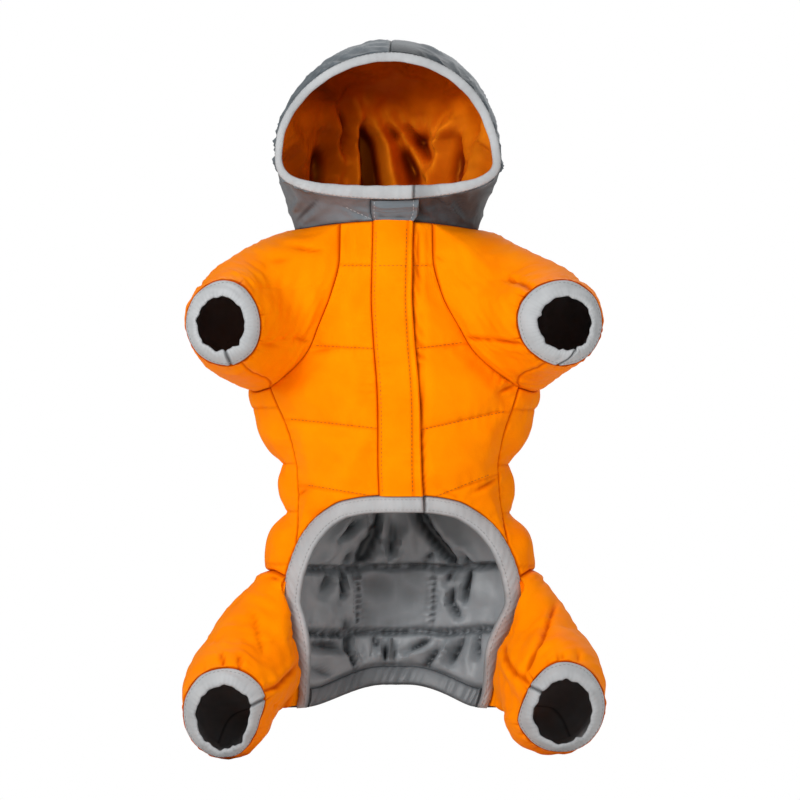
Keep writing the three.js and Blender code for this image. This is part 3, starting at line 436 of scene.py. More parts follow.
def sheet_normals(points):
    """Outward directions of an open grid, square to its rows and columns."""
    return unit(np.cross(np.gradient(points, axis=1), np.gradient(points, axis=0)))


def tube_normals(points):
    """Outward directions of a grid whose rows are closed rings without a repeated point."""
    round_step = np.roll(points, -1, axis=1) - np.roll(points, 1, axis=1)
    return unit(np.cross(round_step, np.gradient(points, axis=0)))


def closed(grid):
    """A ring grid with its first column repeated at the end."""
    return np.concatenate([grid, grid[:, :1]], axis=1)


def runs(points):
    """Length along each row from its start, and up each column from its foot."""
    across = np.linalg.norm(np.diff(points, axis=1), axis=-1)
    up = np.linalg.norm(np.diff(points, axis=0), axis=-1)
    return (np.pad(np.cumsum(across, axis=1), ((0, 0), (1, 0))),
            np.pad(np.cumsum(up, axis=0), ((1, 0), (0, 0))))


def edge_distance(points, sides=True, ends=True):
    """Distance along the cloth to the nearest edge of its grid."""
    across, up = runs(points)
    away = np.full(points.shape[:2], 1e3)
    if sides:
        away = np.minimum(away, np.minimum(across, across[:, -1:] - across))
    if ends:
        away = np.minimum(away, np.minimum(up, up[-1:] - up))
    return away


# ---- Relief of the cloth ----


def wander(t, seed):
    """Uneven wave between about -1 and 1: the mean of three sines whose lengths never agree."""
    return sum(np.sin(length * t + start * seed)
               for length, start in ((1, 1.7), (2.31, 2.9), (0.61, 4.1))) / 2.2


def levels(lines, z):
    """Seams as one grid of heights each, also where each is given as a single height."""
    lines = np.asarray(lines, float)
    return lines.reshape(-1, *[1] * np.ndim(z)) if lines.ndim == 1 else lines


def quilting(lines, z, sharpness):
    """0 on a quilting seam and 1 in the middle between two of them, along a steep-sided arch."""
    lines, height = levels(lines, z), np.zeros(np.shape(z))
    for low, high in zip(lines[:-1], lines[1:]):
        u = (z - low) / (high - low)
        inside = (u >= 0) & (u <= 1)
        height = np.where(inside, np.sin(np.pi * np.clip(u, 0, 1)) ** sharpness, height)
    return height


def line_distance(lines, z):
    """Distance in height to the nearest quilting seam."""
    return np.min(np.abs(z[None] - levels(lines, z)), axis=0)


def puckers(along, away, pitch, reach, depth, seed):
    """Ridges square to a seam: an uneven sine along it that dies away from it."""
    phase = 2 * np.pi * along / pitch + 1.6 * wander(along / pitch, seed)
    uneven = 0.5 + 0.5 * wander(along / (2.3 * pitch), seed + 5)
    return depth * np.exp(-away / reach) * np.sin(phase) * uneven


def quilted(lines, z, along, fill, height, sharpness, pucker):
    """Relief of filled cloth between quilting seams, puckered beside them, and how far they are."""
    beside = line_distance(lines, z)
    relief = height * quilting(lines, z, sharpness) * fill + groove(beside, 0.9, 0.6) * fill
    return relief + puckers(along, beside, *pucker) * fill, beside


def folds(x, z, rows, power=1.5):
    """Folds placed one by one: across its line each is a narrow bell with a shallow answer on
    both sides, and along it the height swells from its ends to its middle."""
    x0, z0, x1, z1, width, height = np.array(rows, float).T
    dx, dz = x1 - x0, z1 - z0
    px, pz = x[..., None] - x0, z[..., None] - z0
    t = np.clip((px * dx + pz * dz) / (dx * dx + dz * dz), 0, 1)
    away = np.hypot(px - t * dx, pz - t * dz) / width
    across = np.exp(-away ** power) - bell(away - 1.9, 1, 0.25)
    return (height * across * (0.5 + 0.5 * np.sin(np.pi * t))).sum(-1)


def creases(x, z, rows):
    """The narrow ones among the listed folds."""
    return folds(x, z, [row for row in rows if row[4] < 3])


def bell(away, width, height=1.0):
    """A height on a line that falls off evenly on both sides."""
    return height * np.exp(-(away / width) ** 2)


def groove(away, width, depth):
    """A sewn line: a narrow trough with rounded shoulders."""
    return -bell(away, width, depth)


def most(*layers):
    """The greatest of several layers at each point."""
    return reduce(np.maximum, layers)


def flat(grids):
    """The points of several grids as one list."""
    return np.concatenate([grid.reshape(-1, grid.shape[-1]) for grid in grids])


def shaded(away, crease, beside=None):
    """Painted shade of cloth: in the cleft of a seam, in narrow creases, a little along quilting.
    """
    painted_shade = most(bell(away, 0.6, 0.42), 0.5 * smooth(-crease, 0.3, 1.7))
    return painted_shade if beside is None else most(painted_shade, bell(beside, 0.8, 0.2))


def thickness(away, full, reach=2.2):
    """Cloth that rolls down to a thin edge at its seam along a quarter of an ellipse."""
    t = 1 - np.clip(away / reach, 0, 1)
    return ROLLED + (full - ROLLED) * np.sqrt(np.clip(1 - t * t, 0, 1))


def cleft(outside, away):
    """Outside points with those on a seam drawn in towards their neighbours on the cloth, so two
    sewn pieces part in a narrow cleft."""
    padded = np.pad(outside, ((1, 1), (1, 1), (0, 0)), mode="edge")
    inward = (padded[2:, 1:-1] + padded[:-2, 1:-1] + padded[1:-1, 2:] + padded[1:-1, :-2]
              - 4 * outside)
    return outside + unit(inward) * (CLEFT * (away < 0.01))[..., None]


def met(relief):
    """Relief of a tube eased over its last columns so that it ends as it began."""
    share = np.linspace(0, 1, relief.shape[1])
    eased = relief + (relief[:, :1] - relief[:, -1:]) * smooth(share, 0.85, 1)
    return np.concatenate([eased[:, :-1], relief[:, :1]], axis=1)


def swayed(points):
    """Where the straight garment's points lie once it sways and its right leg is lifted."""
    x, y, z = points[..., 0], points[..., 1], points[..., 2]
    limb = smooth(np.abs(x), 74, 112)
    low = smooth(-z, 90, 140)
    return np.stack([
        x + follow(SWAY, 1, z) * (1 - limb), y, z + np.sign(x) * LEG_LIFT * limb * low,
    ], -1)


# ---- Meshes ----


def cloth_uv(points):
    """Lengths across and up the cloth, in metres, so a weave keeps its real scale."""
    across, up = runs(points)
    middle = across[:, across.shape[1] // 2:across.shape[1] // 2 + 1]
    return np.stack([across - middle, up], -1) / 1000


def shell(grids, faced=0):
    """One closed skin from grids of (inside, outside, painted shade) points: the outside quads,
    the inside ones turned round, and a strip along every edge that no two quads share. Points that
    two grids have in common are one point. Returns points, the painted shade at each, quads, their
    UVs and 1 for each quad that shows the lining: the inside ones, but for the first faced rows,
    which are faced with the outer cloth."""
    inside, outside = [flat(grid[k] for grid in grids) for k in (0, 1)]
    painted_shade = np.concatenate([grid[2].reshape(-1) for grid in grids])
    uv = flat(cloth_uv(grid[1]) for grid in grids)
    quads, start = [], 0
    for a, _, _ in grids:
        index = start + np.arange(a.shape[0] * a.shape[1]).reshape(a.shape[:2])
        start += index.size
        corners = (index[:-1, :-1], index[:-1, 1:], index[1:, 1:], index[1:, :-1])
        quads.append(np.stack(corners, -1).reshape(-1, 4))
    quads = np.concatenate(quads)
    keys = np.round(inside * 1000 + 0.137).astype(np.int64)
    _, first, same = np.unique(keys, axis=0, return_index=True, return_inverse=True)
    same = same.reshape(-1)
    welded = same[quads]
    count = len(first)
    ends = np.roll(welded, -1, axis=1)
    forward = (welded * count + ends).reshape(-1)
    backward = (ends * count + welded).reshape(-1)
    open_edge = ~np.isin(forward, backward)
    a, b = welded.reshape(-1)[open_edge], ends.reshape(-1)[open_edge]
    a_uv = uv[quads.reshape(-1)[open_edge]]
    b_uv = uv[np.roll(quads, -1, axis=1).reshape(-1)[open_edge]]
    rim = np.stack([count + b, count + a, a, b], -1)
    points = np.concatenate([inside[first], outside[first]])
    painted_shade = np.tile(painted_shade[first], 2)
    faces = np.concatenate([welded + count, welded[:, ::-1], rim])
    face_uv = np.concatenate([uv[quads], uv[quads[:, ::-1]], np.stack([b_uv, a_uv, a_uv, b_uv], 1)])
    is_inside = np.concatenate([np.zeros(len(quads)), np.ones(len(quads)), np.zeros(len(rim))])
    is_inside[len(quads):len(quads) + faced * (grids[0][0].shape[1] - 1)] = 0
    return points, painted_shade, faces, face_uv, is_inside.astype(np.int32)


def put(name, data):
    """A new object in the scene."""
    thing = bpy.data.objects.new(name, data)
    bpy.context.scene.collection.objects.link(thing)
    return thing


def add_mesh(name, points, painted_shade, faces, face_uv, finish, look):
    """Object at the origin from points in millimetres and faces with the same number of corners.
    Its points carry painted shade, by which its finish darkens."""
    mesh = bpy.data.meshes.new(name)
    mesh.vertices.add(len(points))
    mesh.vertices.foreach_set("co", (points / 1000).astype(np.float32).ravel())
    mesh.loops.add(faces.size)
    mesh.loops.foreach_set("vertex_index", faces.astype(np.int32).ravel())
    mesh.polygons.add(len(faces))
    starts = np.arange(0, faces.size, faces.shape[1], dtype=np.int32)
    mesh.polygons.foreach_set("loop_start", starts)
    mesh.polygons.foreach_set("material_index", finish)
    mesh.polygons.foreach_set("use_smooth", np.ones(len(faces), bool))
    carried = mesh.attributes.new("painted_shade", "FLOAT", "POINT")
    carried.data.foreach_set("value", painted_shade.astype(np.float32))
    layer = mesh.uv_layers.new(name="cloth")
    layer.data.foreach_set("uv", face_uv.astype(np.float32).ravel())
    mesh.update(calc_edges=True)
    mesh.validate()
    for material in look:
        mesh.materials.append(material)
    return put(name, mesh)


def sew(name, grids, look, mirrored=False, faced=0, facing=None, shows=1):
    """Closed cloth piece from grids of (inside, outside, painted shade), declared to the frame.
    Where its facing directions are given, the side of it that shows is remembered for the threads
    sewn on it, as it finally lies."""
    if facing is not None:
        side = (-1, 1, 1) if mirrored else (1, 1, 1)
        LAID[name] = [swayed(grid[shows] * side) for grid in grids], [way * side for way in facing]
    points, painted_shade, faces, face_uv, finish = shell(grids, faced)
    if mirrored:
        points = points * (-1, 1, 1)
        faces, face_uv = faces[:, ::-1], face_uv[:, ::-1]
    piece = add_mesh(name + "_cloth", swayed(points), painted_shade, faces, face_uv, finish, look)
    piece.data.set_sharp_from_angle(angle=radians(62))
    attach(piece, "root")
    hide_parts(name)
    return piece


# ---- Grids of the cut ----


def turned(turn, at):
    """Degrees from one direction to another, between -180 and 180."""
    return (turn - at + 180) % 360 - 180


def mix(a, b, t):
    """a at 0, b at 1 and evenly between them."""
    return a + (b - a) * t


def along_placket(top, bottom, z):
    """Distance from the midline at a height, between its values at the bottom and at the neck."""
    low = BOUND_EDGE[0, 1]
    return mix(bottom, top, (z - low) / (neckline(0) - low))


def sewn_edge(z):
    """Edge of the placket that is sewn into the left panel's seam."""
    return -along_placket(PLACKET["sewn_top"], PLACKET["sewn_bottom"], z)


def free_edge(z):
    """Edge of the placket that lies loose on the right panel."""
    return along_placket(PLACKET["free_top"], PLACKET["free_bottom"], z)


def stitch_inset(z):
    """How far inside the free edge its row of stitches runs."""
    return mix(5.8, 3.2, (z - BOUND_EDGE[0, 1]) / 176)


def belly_places(inner, finer):
    """Places of a belly panel between its middle edge and its side and raglan seams."""
    outer = joined(seam("side", finer), seam("raglan", finer))
    arch = seam("belly", finer)
    low, high = BOUND_EDGE[0, 1], neckline(0)
    n = STEPS["flap"] * finer
    foot = joined(level(lambda a: low, angle_at(inner(low), low), arch[0, 0], n), arch)
    beside = angle_at(PLACKET["free_top"] + 1, high)
    top = joined(level(neckline, angle_at(inner(high), high), beside, n),
                 level(neckline, beside, outer[-1, 0], STEPS["belly"] * finer))
    z = mix(low, top[0, 1], (outer[:, 1] - outer[0, 1]) / (outer[-1, 1] - outer[0, 1]))
    return patch(foot, top, np.column_stack([angle_at(inner(z), z), z]), outer, fade=2.5)


def back_places(finer):
    """Places of the back's shoulders, middle and rump, which meet along two level lines."""
    n = STEPS["across"] * finer
    raglan, leg_back, hip = seam("back_raglan", finer), seam("leg_back", finer), seam("hip", finer)
    underarm = seam("underarm", finer)
    shoulder_line = level(lambda a: raglan[0, 1], raglan[0, 0], 360 - raglan[0, 0], n)
    hip_line = level(lambda a: leg_back[0, 1], leg_back[0, 0], 360 - leg_back[0, 0], n)
    shoulders = patch(shoulder_line, seam("across", finer), raglan, across_back(raglan))
    side = joined(seam("hip_edge", finer)[::-1], seam("side", finer))
    middle = patch(joined(hip, hip_line, across_back(hip[::-1])),
                   joined(underarm, shoulder_line, across_back(underarm[::-1])),
                   side, across_back(side))
    hem = level(hemline, leg_back[-1, 0], 360 - leg_back[-1, 0], n)
    rump = patch(hem, hip_line, leg_back[::-1], across_back(leg_back[::-1]))
    return shoulders, middle, rump


def ring_point(ring, turn):
    """Point of a limb's ring: its centre plus its radii across and up, turned out and down."""
    x, y, z, across, up, out, down = ring
    out, down, turn = radians(out), radians(down), np.radians(turn)
    side = np.array([np.cos(out), np.sin(out), 0])
    ahead = np.array([np.sin(out) * np.cos(down), -np.cos(out) * np.cos(down), -np.sin(down)])
    rise = np.cross(ahead, side)
    return (np.array([x, y, z]) + across * np.cos(turn)[:, None] * side
            + up * np.sin(turn)[:, None] * rise)


def through(knots, steps):
    """Points on a centripetal Catmull-Rom curve through each column's knots, with the same number
    of steps between any two."""
    ends = [2 * knots[0] - knots[1], *knots, 2 * knots[-1] - knots[-2]]
    rows = []
    for k in range(len(knots) - 1):
        p0, p1, p2, p3 = ends[k:k + 4]
        d0, d1, d2 = [np.linalg.norm(b - a, axis=-1, keepdims=True) ** 0.5
                      for a, b in ((p0, p1), (p1, p2), (p2, p3))]
        t1 = d1 * ((p1 - p0) / d0 - (p2 - p0) / (d0 + d1) + (p2 - p1) / d1)
        t2 = d1 * ((p2 - p1) / d1 - (p3 - p1) / (d1 + d2) + (p3 - p2) / d2)
        w = np.linspace(0, 1, steps + 1)[int(k > 0):, None, None]
        rows.append(p1 + t1 * w + (3 * p2 - 3 * p1 - 2 * t1 - t2) * w ** 2
                    + (2 * p1 - 2 * p2 + t1 + t2) * w ** 3)
    return np.concatenate(rows)


def limb(kind, finer):
    """Points, outward directions and turns of a limb, from its closed seam on the trunk through its
    rings. Its first rows face as the trunk does and then turn to face as the limb does."""
    runs_round = [seam(part, finer)[::way] for part, way in kind["seams"]]
    places = np.concatenate([run[:-1] for run in runs_round])
    corners = kind["turns"]
    ends = [*corners[1:], corners[0] + 360]
    turn = np.concatenate([np.linspace(a, b, len(run))[:-1]
                           for run, a, b in zip(runs_round, corners, ends)])
    points = through([trunk_point(places), *[ring_point(ring, turn) for ring in kind["rings"]]],
                     STEPS["limb"] * finer // 3)
    own = smooth(np.arange(len(points)) / (2.0 * finer))[:, None, None]
    normals = unit(mix(trunk_normal(places), tube_normals(points), own))
    return points, normals, turn


def hood_point(angle, rise, drawn=FACE_DRAWN):
    """Point of the hood round from the chin by angle, from 0 at the neck to 1 at the face. A half
    that is mirrored afterwards is drawn the other way."""
    turn = 90 * (1 - rise)
    middle, chin, crown = (follow(HOOD, column, turn) for column in (MIDDLE, CHIN, CROWN))
    swing = np.cos(np.radians(angle))
    ahead = np.maximum(swing, 0) ** mix(1, CHIN_SQUARE, rise)
    reach = np.where(swing > 0, mix(middle, chin, ahead), mix(middle, crown, -swing))
    settle = (neckline(angle) - ELBOW_Z) * (1 - rise) ** 2
    x = follow(HOOD, HOOD_HALF, turn) * np.sin(np.radians(angle))
    y = ELBOW_Y + reach * np.sin(np.radians(turn))
    z = ELBOW_Z + reach * np.cos(np.radians(turn)) + settle
    return np.stack([x - drawn * smooth(rise, 0.35, 1) * smooth(z, 145, 180), y, z], -1)


def hood_grid(angles, steps, first=0.0, ring=False, drawn=FACE_DRAWN):
    """Points and outward directions of the hood's cloth over some angles."""
    rise = np.linspace(first, 1, steps + 1)[:, None]
    angle, rise = np.broadcast_arrays(angles[None], rise)
    points = hood_point(angle, rise, drawn)
    normals = tube_normals(points) if ring else sheet_normals(points)
    if first == 0:
        at_neck = trunk_normal(np.stack([angle[0], np.full(angle.shape[1], NECK["height"])], -1))
        normals = unit(mix(at_neck, normals, smooth(rise[..., None], 0, 0.1)))
    return points, normals, angle, rise


# ---- Relief shared by the pieces ----


AT_ONCE = 4096                 # places measured at a time, to spare memory


def nearest(points, line):
    """Distance from each point to the nearest point of a line, and how far along the line it is."""
    along = np.concatenate([[0], np.cumsum(np.linalg.norm(np.diff(line, axis=0), axis=-1))])
    spots = points.reshape(-1, 3)
    away, index = np.empty(len(spots)), np.empty(len(spots), int)
    for start in range(0, len(spots), AT_ONCE):
        part = slice(start, start + AT_ONCE)
        gap = ((spots[part, None] - line[None]) ** 2).sum(-1)
        index[part], away[part] = gap.argmin(1), np.sqrt(gap.min(1))
    return away.reshape(points.shape[:-1]), along[index].reshape(points.shape[:-1])


def border(points):
    """All four edges of a grid as one line round it."""
    return np.concatenate([points[0], points[1:, -1], points[-1, -2::-1], points[-2::-1, 0]])


def ripple(u, v, seed):
    """Small uneven swelling of soft cloth: waves in three directions whose lengths wander."""
    a = np.sin(0.31 * u + 0.11 * v + 1.3 * seed + 1.2 * np.sin(0.07 * v + seed))
    b = np.sin(-0.17 * u + 0.37 * v + 2.1 * seed + 1.4 * np.sin(0.09 * u + 2 * seed))
    c = np.sin(0.53 * u + 0.41 * v + 0.7 * seed + 1.1 * np.sin(0.13 * (u - v)))
    return (a + b + 0.5 * c) / 2.5


def crumple(u, v, seed):
    """Crisp creases of thin cloth: a ridge wherever an uneven swelling changes sign."""
    return 0.45 - np.abs(ripple(u, v, seed)) ** 0.8


def out_from(base, normals, inset, relief, thick):
    """Inside and outside of a wall that stands off its base by an inset and a relief, never
    thinner than a fifth of a millimetre."""
    inside = base + normals * np.asarray(inset)[..., None]
    return inside, inside + normals * np.maximum(thick + relief, 0.2)[..., None]


LAID = {}
MIRRORED = {"left": True, "right": False}


# ---- Trunk pieces ----


def build_belly(finer, look):
    """Both belly panels and the placket that laps from the left one over the right one."""
    for side, mirrored in MIRRORED.items():
        places = belly_places((lambda z: -sewn_edge(z)) if mirrored else sewn_edge, finer)
        base, normals = trunk_point(places), trunk_normal(places)
        x, z = base[..., 0], base[..., 2]
        away, along = nearest(base, border(base))
        across, _ = runs(base)
        at_flap, at_side = np.array(BELLY_QUILTS[side], float).T
        slope = np.clip((x - 14) / 50, 0, 1)
        lines = at_flap[:, None, None] + (at_side - at_flap)[:, None, None] * slope
        fill = smooth(away, 1, 15)
        seed = 3.0 if mirrored else 8.0
        relief, beside = quilted(lines, z, across, fill, 3.2, 0.9, (7, 4, 0.7, seed))
        relief += puckers(along, away, 6.5, 5, 0.8, seed + 2)
        relief += 1.5 * folds(x, z, BELLY_FOLDS[side]) + 0.4 * ripple(x, z, seed)
        relief += 0.5 * crumple(0.5 * x, 0.4 * z, seed + 1) * fill
        if not mirrored:
            relief *= smooth(x, 15, 21)
        relief *= smooth(away, 0, 2.5)
        inside, outside = out_from(base, normals, 0, relief, thickness(away, SHELL))
        outside = cleft(outside, away)
        # Painted shade in the clefts of the seams, in narrow creases and along the quilting; on the
        # right panel also a painted shadow of the placket beside its free edge.
        painted_shade = shaded(away, creases(x, z, BELLY_FOLDS[side]), beside)
        if not mirrored:
            painted_shade = most(painted_shade, bell(np.maximum(x - free_edge(z), 0), 1.4, 0.85))
        grid = (inside, outside, painted_shade)
        sew("front_" + side, [grid], look, mirrored, facing=[normals])

    z = np.linspace(BOUND_EDGE[0, 1], neckline(0), PLACKET_UP)[:, None]
    s = np.linspace(0, 1, PLACKET_ACROSS)[None]
    places = np.stack(np.broadcast_arrays(angle_at(mix(sewn_edge(z), free_edge(z), s), z), z), -1)
    base, normals = trunk_point(places), trunk_normal(places)
    x, z = base[..., 0], base[..., 2]
    from_sewn, from_free = x - sewn_edge(z), free_edge(z) - x
    from_stitches = from_free - stitch_inset(z)
    inset = mix(0.75, SHELL + LAYER_GAP, smooth(from_sewn, 0, 4.5))
    inset = inset + 1.1 * smooth(4 - from_free, 0, 4) * (1 + 0.6 * wander(z / 11, 1))
    relief = 0.9 * np.sin(np.pi * s) + groove(from_stitches, 0.7, 0.4)
    relief += puckers(z, np.abs(from_stitches), 6.5, 4, 0.45, 4)
    relief += puckers(z, from_sewn, 8, 6, 0.55, 6)
    relief += groove(line_distance([FLAP_QUILT], z), 1.2, 0.5)
    relief += 0.2 * ripple(x, z, 5)
    edge = np.minimum(from_sewn / 3, from_free)
    relief *= smooth(edge, 0, 1)
    inside, outside = out_from(base, normals, inset, relief, thickness(edge * 3, SHELL))
    # Painted shade along the sewn edge and the row of stitches.
    painted_shade = bell(np.minimum(from_sewn, np.abs(from_stitches)), 0.8, 0.25)
    sew("placket", [(inside, outside, painted_shade)], look, facing=[normals])


def build_back(finer, look):
    """The back panel in three patches that meet on quilting seams, as one closed piece."""
    patches, facing = zip(*[(trunk_point(at), trunk_normal(at)) for at in back_places(finer)])
    shoulders, middle, rump = patches
    side = STEPS["hip"] * finer
    edge = np.concatenate([
        shoulders[:, 0], shoulders[-1], shoulders[::-1, -1], middle[-1, -side:], middle[::-1, -1],
        middle[0, -side:], rump[::-1, -1], rump[0], rump[:, 0], middle[0, :side][::-1],
        middle[:, 0], middle[-1, :side],
    ])
    middle[-1, side:-side], rump[-1] = shoulders[0], middle[0, side:-side]
    grids = []
    for points, normals in zip(patches, facing):
        away, along = nearest(points, edge)
        x, z = points[..., 0], points[..., 2]
        around = np.degrees(np.arctan2(x, points[..., 1])) * BACK_REACH
        line, fill = z + 1.6 * wander(around / 34, 2), smooth(away, 1, 18)
        relief, beside = quilted(BACK_QUILTS, line, around, fill, 4.0, 1.05, (8, 4, 0.8, 7))
        relief += puckers(along, away, 7, 5, 0.8, 11)
        relief += 1.6 * folds(around, z, BACK_FOLDS) + 0.45 * ripple(around, z, 9)
        relief *= smooth(away, 0, 2.5)
        inside, outside = out_from(points, normals, 0, relief, thickness(away, SHELL))
        # Painted shade in the clefts of the seams and along the quilting.
        grids.append((inside, cleft(outside, away), shaded(away, 0 * away, beside)))
    sew("back", grids, look, facing=facing)


def build_back_lining(finer, look):
    """Lining of the lower back, quilted and gathered, and the elastic casing along its hem."""
    _, middle, rump = back_places(finer)
    grids, facing = [], []
    for places in (rump, middle[:(STEPS["hip_edge"] + 6) * finer + 1]):
        points, normals = trunk_point(places), trunk_normal(places)
        x, z = points[..., 0], points[..., 2]
        beside = line_distance(LINING_SEAMS, z - LINING_TILT * x + 1.0 * wander(x / 14, 3))
        above = z - hemline(places[..., 0])
        free = smooth(beside, 0.3, 4.5) * smooth(above, 9, 14)
        low, high = PATCH_SIDES
        between = smooth(z, -148, -144) * smooth(-z, 106, 109)
        inside_patch = smooth(x, low, low + 4) * smooth(-x, -high, 4 - high) * between
        from_side = np.minimum(np.abs(x - low), np.abs(x - high))
        inward = 1.6 + 2.3 * folds(x, z, LINING_FOLDS) * free * (1 - 0.5 * inside_patch)
        inward += 6.0 * free * (1 - 0.45 * inside_patch)
        inward += 0.9 * crumple(0.6 * x, 0.5 * z, 4) * free
        gathered = puckers(z, from_side, 4.2, 2.6, 1.5, 7) + groove(from_side, 1.3, 2.4)
        along_seams = puckers(x, beside, 5.6, 5, 1.6, 2) * (1 - 0.6 * inside_patch)
        gathered = along_seams + gathered * between
        inward = np.maximum((inward + gathered) * smooth(above, 5, 12), 0.0)
        inward += groove(beside, 0.9, 0.5)
        inset = -NYLON - LINING_GAP - np.maximum(inward, 0)
        # Painted shade: darker where the lining falls back into its folds, in short dark ticks
        # between the gathers beside the patch and along the seams, and in the seams' clefts.
        painted_shade = 0.9 * smooth(6.6 - inward, 0, 5.4) * smooth(above, 9, 12)
        painted_shade = painted_shade * smooth(beside, 0.6, 3.5)
        patch_dips = smooth(puckers(z, 0, 4.2, 1, 1, 7), -0.5, 0.3)
        seam_dips = smooth(puckers(x, 0, 3.8, 1, 1, 3), -0.3, 0.3)
        beside_patch = bell(from_side, 1.6, 0.85) * between * patch_dips
        beside_seam = bell(beside, 2.2, 0.7) * seam_dips
        painted_shade = most(painted_shade, beside_patch, beside_seam, bell(beside, 0.8, 0.45))
        grids.append((*[points + normals * (inset + on)[..., None] for on in (0, 0.9)], painted_shade))
        facing.append(-normals)
    sew("back_lining", grids, look, facing=facing, shows=0)

    front = angle_at(BOUND_EDGE[AT_HEM, 0] - HEM["tuck"], HEM["ends"])
    angle = np.linspace(front, 360 - front, HEM_GRID[0])[None]
    v = np.linspace(0, 1, HEM_GRID[1])[:, None]
    height = hemline(angle) - HEM["shows"] + v * HEM["depth"]
    places = np.stack(np.broadcast_arrays(angle, height), -1)
    base, normals = trunk_point(places), trunk_normal(places)
    away = edge_distance(base)
    run, _ = runs(base)
    gather = 0.8 * np.sin(2 * np.pi * run / 7.2 + 2.4 * wander(run / 8, 2))
    gather = gather * (0.45 + 0.55 * wander(run / 13, 6))
    gather = gather * (0.35 + 0.65 * np.sin(np.pi * v)) + 0.9 * np.sin(np.pi * v) ** 0.6
    inset = -NYLON - LINING_GAP - LAYER_GAP - TAPE - 0.6 - gather
    thick = thickness(away, TAPE, 1.6)
    inside = base + normals * (inset + (TAPE - thick))[..., None]
    outside = base + normals * (inset + TAPE)[..., None]
    # The whole casing is darkened evenly by its finish, with painted shade between its gathers and
    # along its edges.
    painted_shade = 0.3 + 0.25 * smooth(0.9 - gather, 0, 1.2) + bell(away, 0.8, 0.4)
    sew("back_hem", [(inside, outside, painted_shade)], look,
        facing=[-normals], shows=0)


def tape_strip(places, lift, finer):
    """Strip laid inside the bound edge: each row of places is moved inwards, square to the edge as
    it is seen from the belly side, by a width that narrows down the leg."""
    edge = trunk_point(places)[:, [0, 2]]
    along = unit(np.gradient(edge, axis=0))
    inwards = np.column_stack([along[:, 1], -along[:, 0]])
    narrow = smooth(-edge[:, 1], -BELLY_TAPE["from"], -BELLY_TAPE["to"])
    width = mix(BELLY_TAPE["width"], BELLY_TAPE["end"], narrow)
    v = np.linspace(0, 1, finer)[::-1, None, None]
    spot = edge + inwards * width[:, None] * v
    at = np.stack([angle_at(spot[..., 0], spot[..., 1]), spot[..., 1]], -1)
    normals = trunk_normal(at)
    return trunk_point(at) + normals * lift(spot[..., 0])[..., None], normals


def build_binding(finer, look):
    """The binding of the belly opening: the left length starts on the flap's end, which
    lifts it, and both run down to the hem."""
    edge = joined(seam("belly", finer), seam("hip_edge", finer), seam("leg_edge", finer))
    low, beside = BOUND_EDGE[0, 1], BOUND_EDGE[BESIDE_FLAP, 0]
    for side, mirrored in MIRRORED.items():
        places, raised = np.concatenate([edge, edge[-1:] - (0, 1.8)]), (lambda x: 0 * x)
        if mirrored:
            start = -mix(PLACKET["free_bottom"], -PLACKET["sewn_bottom"], np.linspace(0, 0.97, 25))
            flap_end = np.column_stack([angle_at(start, low), np.full(len(start), low)])
            places = np.concatenate([flap_end, places])
            run = beside - PLACKET["sewn_bottom"]
            raised = lambda x: (SHELL + LAYER_GAP) * smooth(beside - x, 0, run)
        base, normals = tape_strip(places, raised, BELLY_TAPE_ACROSS)
        run, up = runs(base)
        away = np.minimum(edge_distance(base, sides=False), 6)
        ends = np.minimum(run, run[:, -1:] - run)
        v = np.linspace(1, 0, BELLY_TAPE_ACROSS)[:, None]
        uneven = np.sin(2 * np.pi * run / 6.1 + 1.4 * wander(run / 13, 3))
        relief = 1.1 * np.sin(np.pi * v) + 0.16 * uneven
        relief += 0.22 * ripple(run, up, 6) + groove(away - 1.7, 0.5, 0.3)
        relief *= smooth(ends, 0, 1.2) * smooth(away, 0, 1)
        thick = thickness(np.minimum(away, ends), TAPE, 1.6)
        inside, outside = out_from(base, normals, 0, relief, thick)
        # Painted shade along both edges of the tape.
        sew("belly_binding_" + side, [(inside, outside, bell(away, 0.7, 0.5))], look,
            mirrored, facing=[normals])


# ---- Sleeves and legs ----


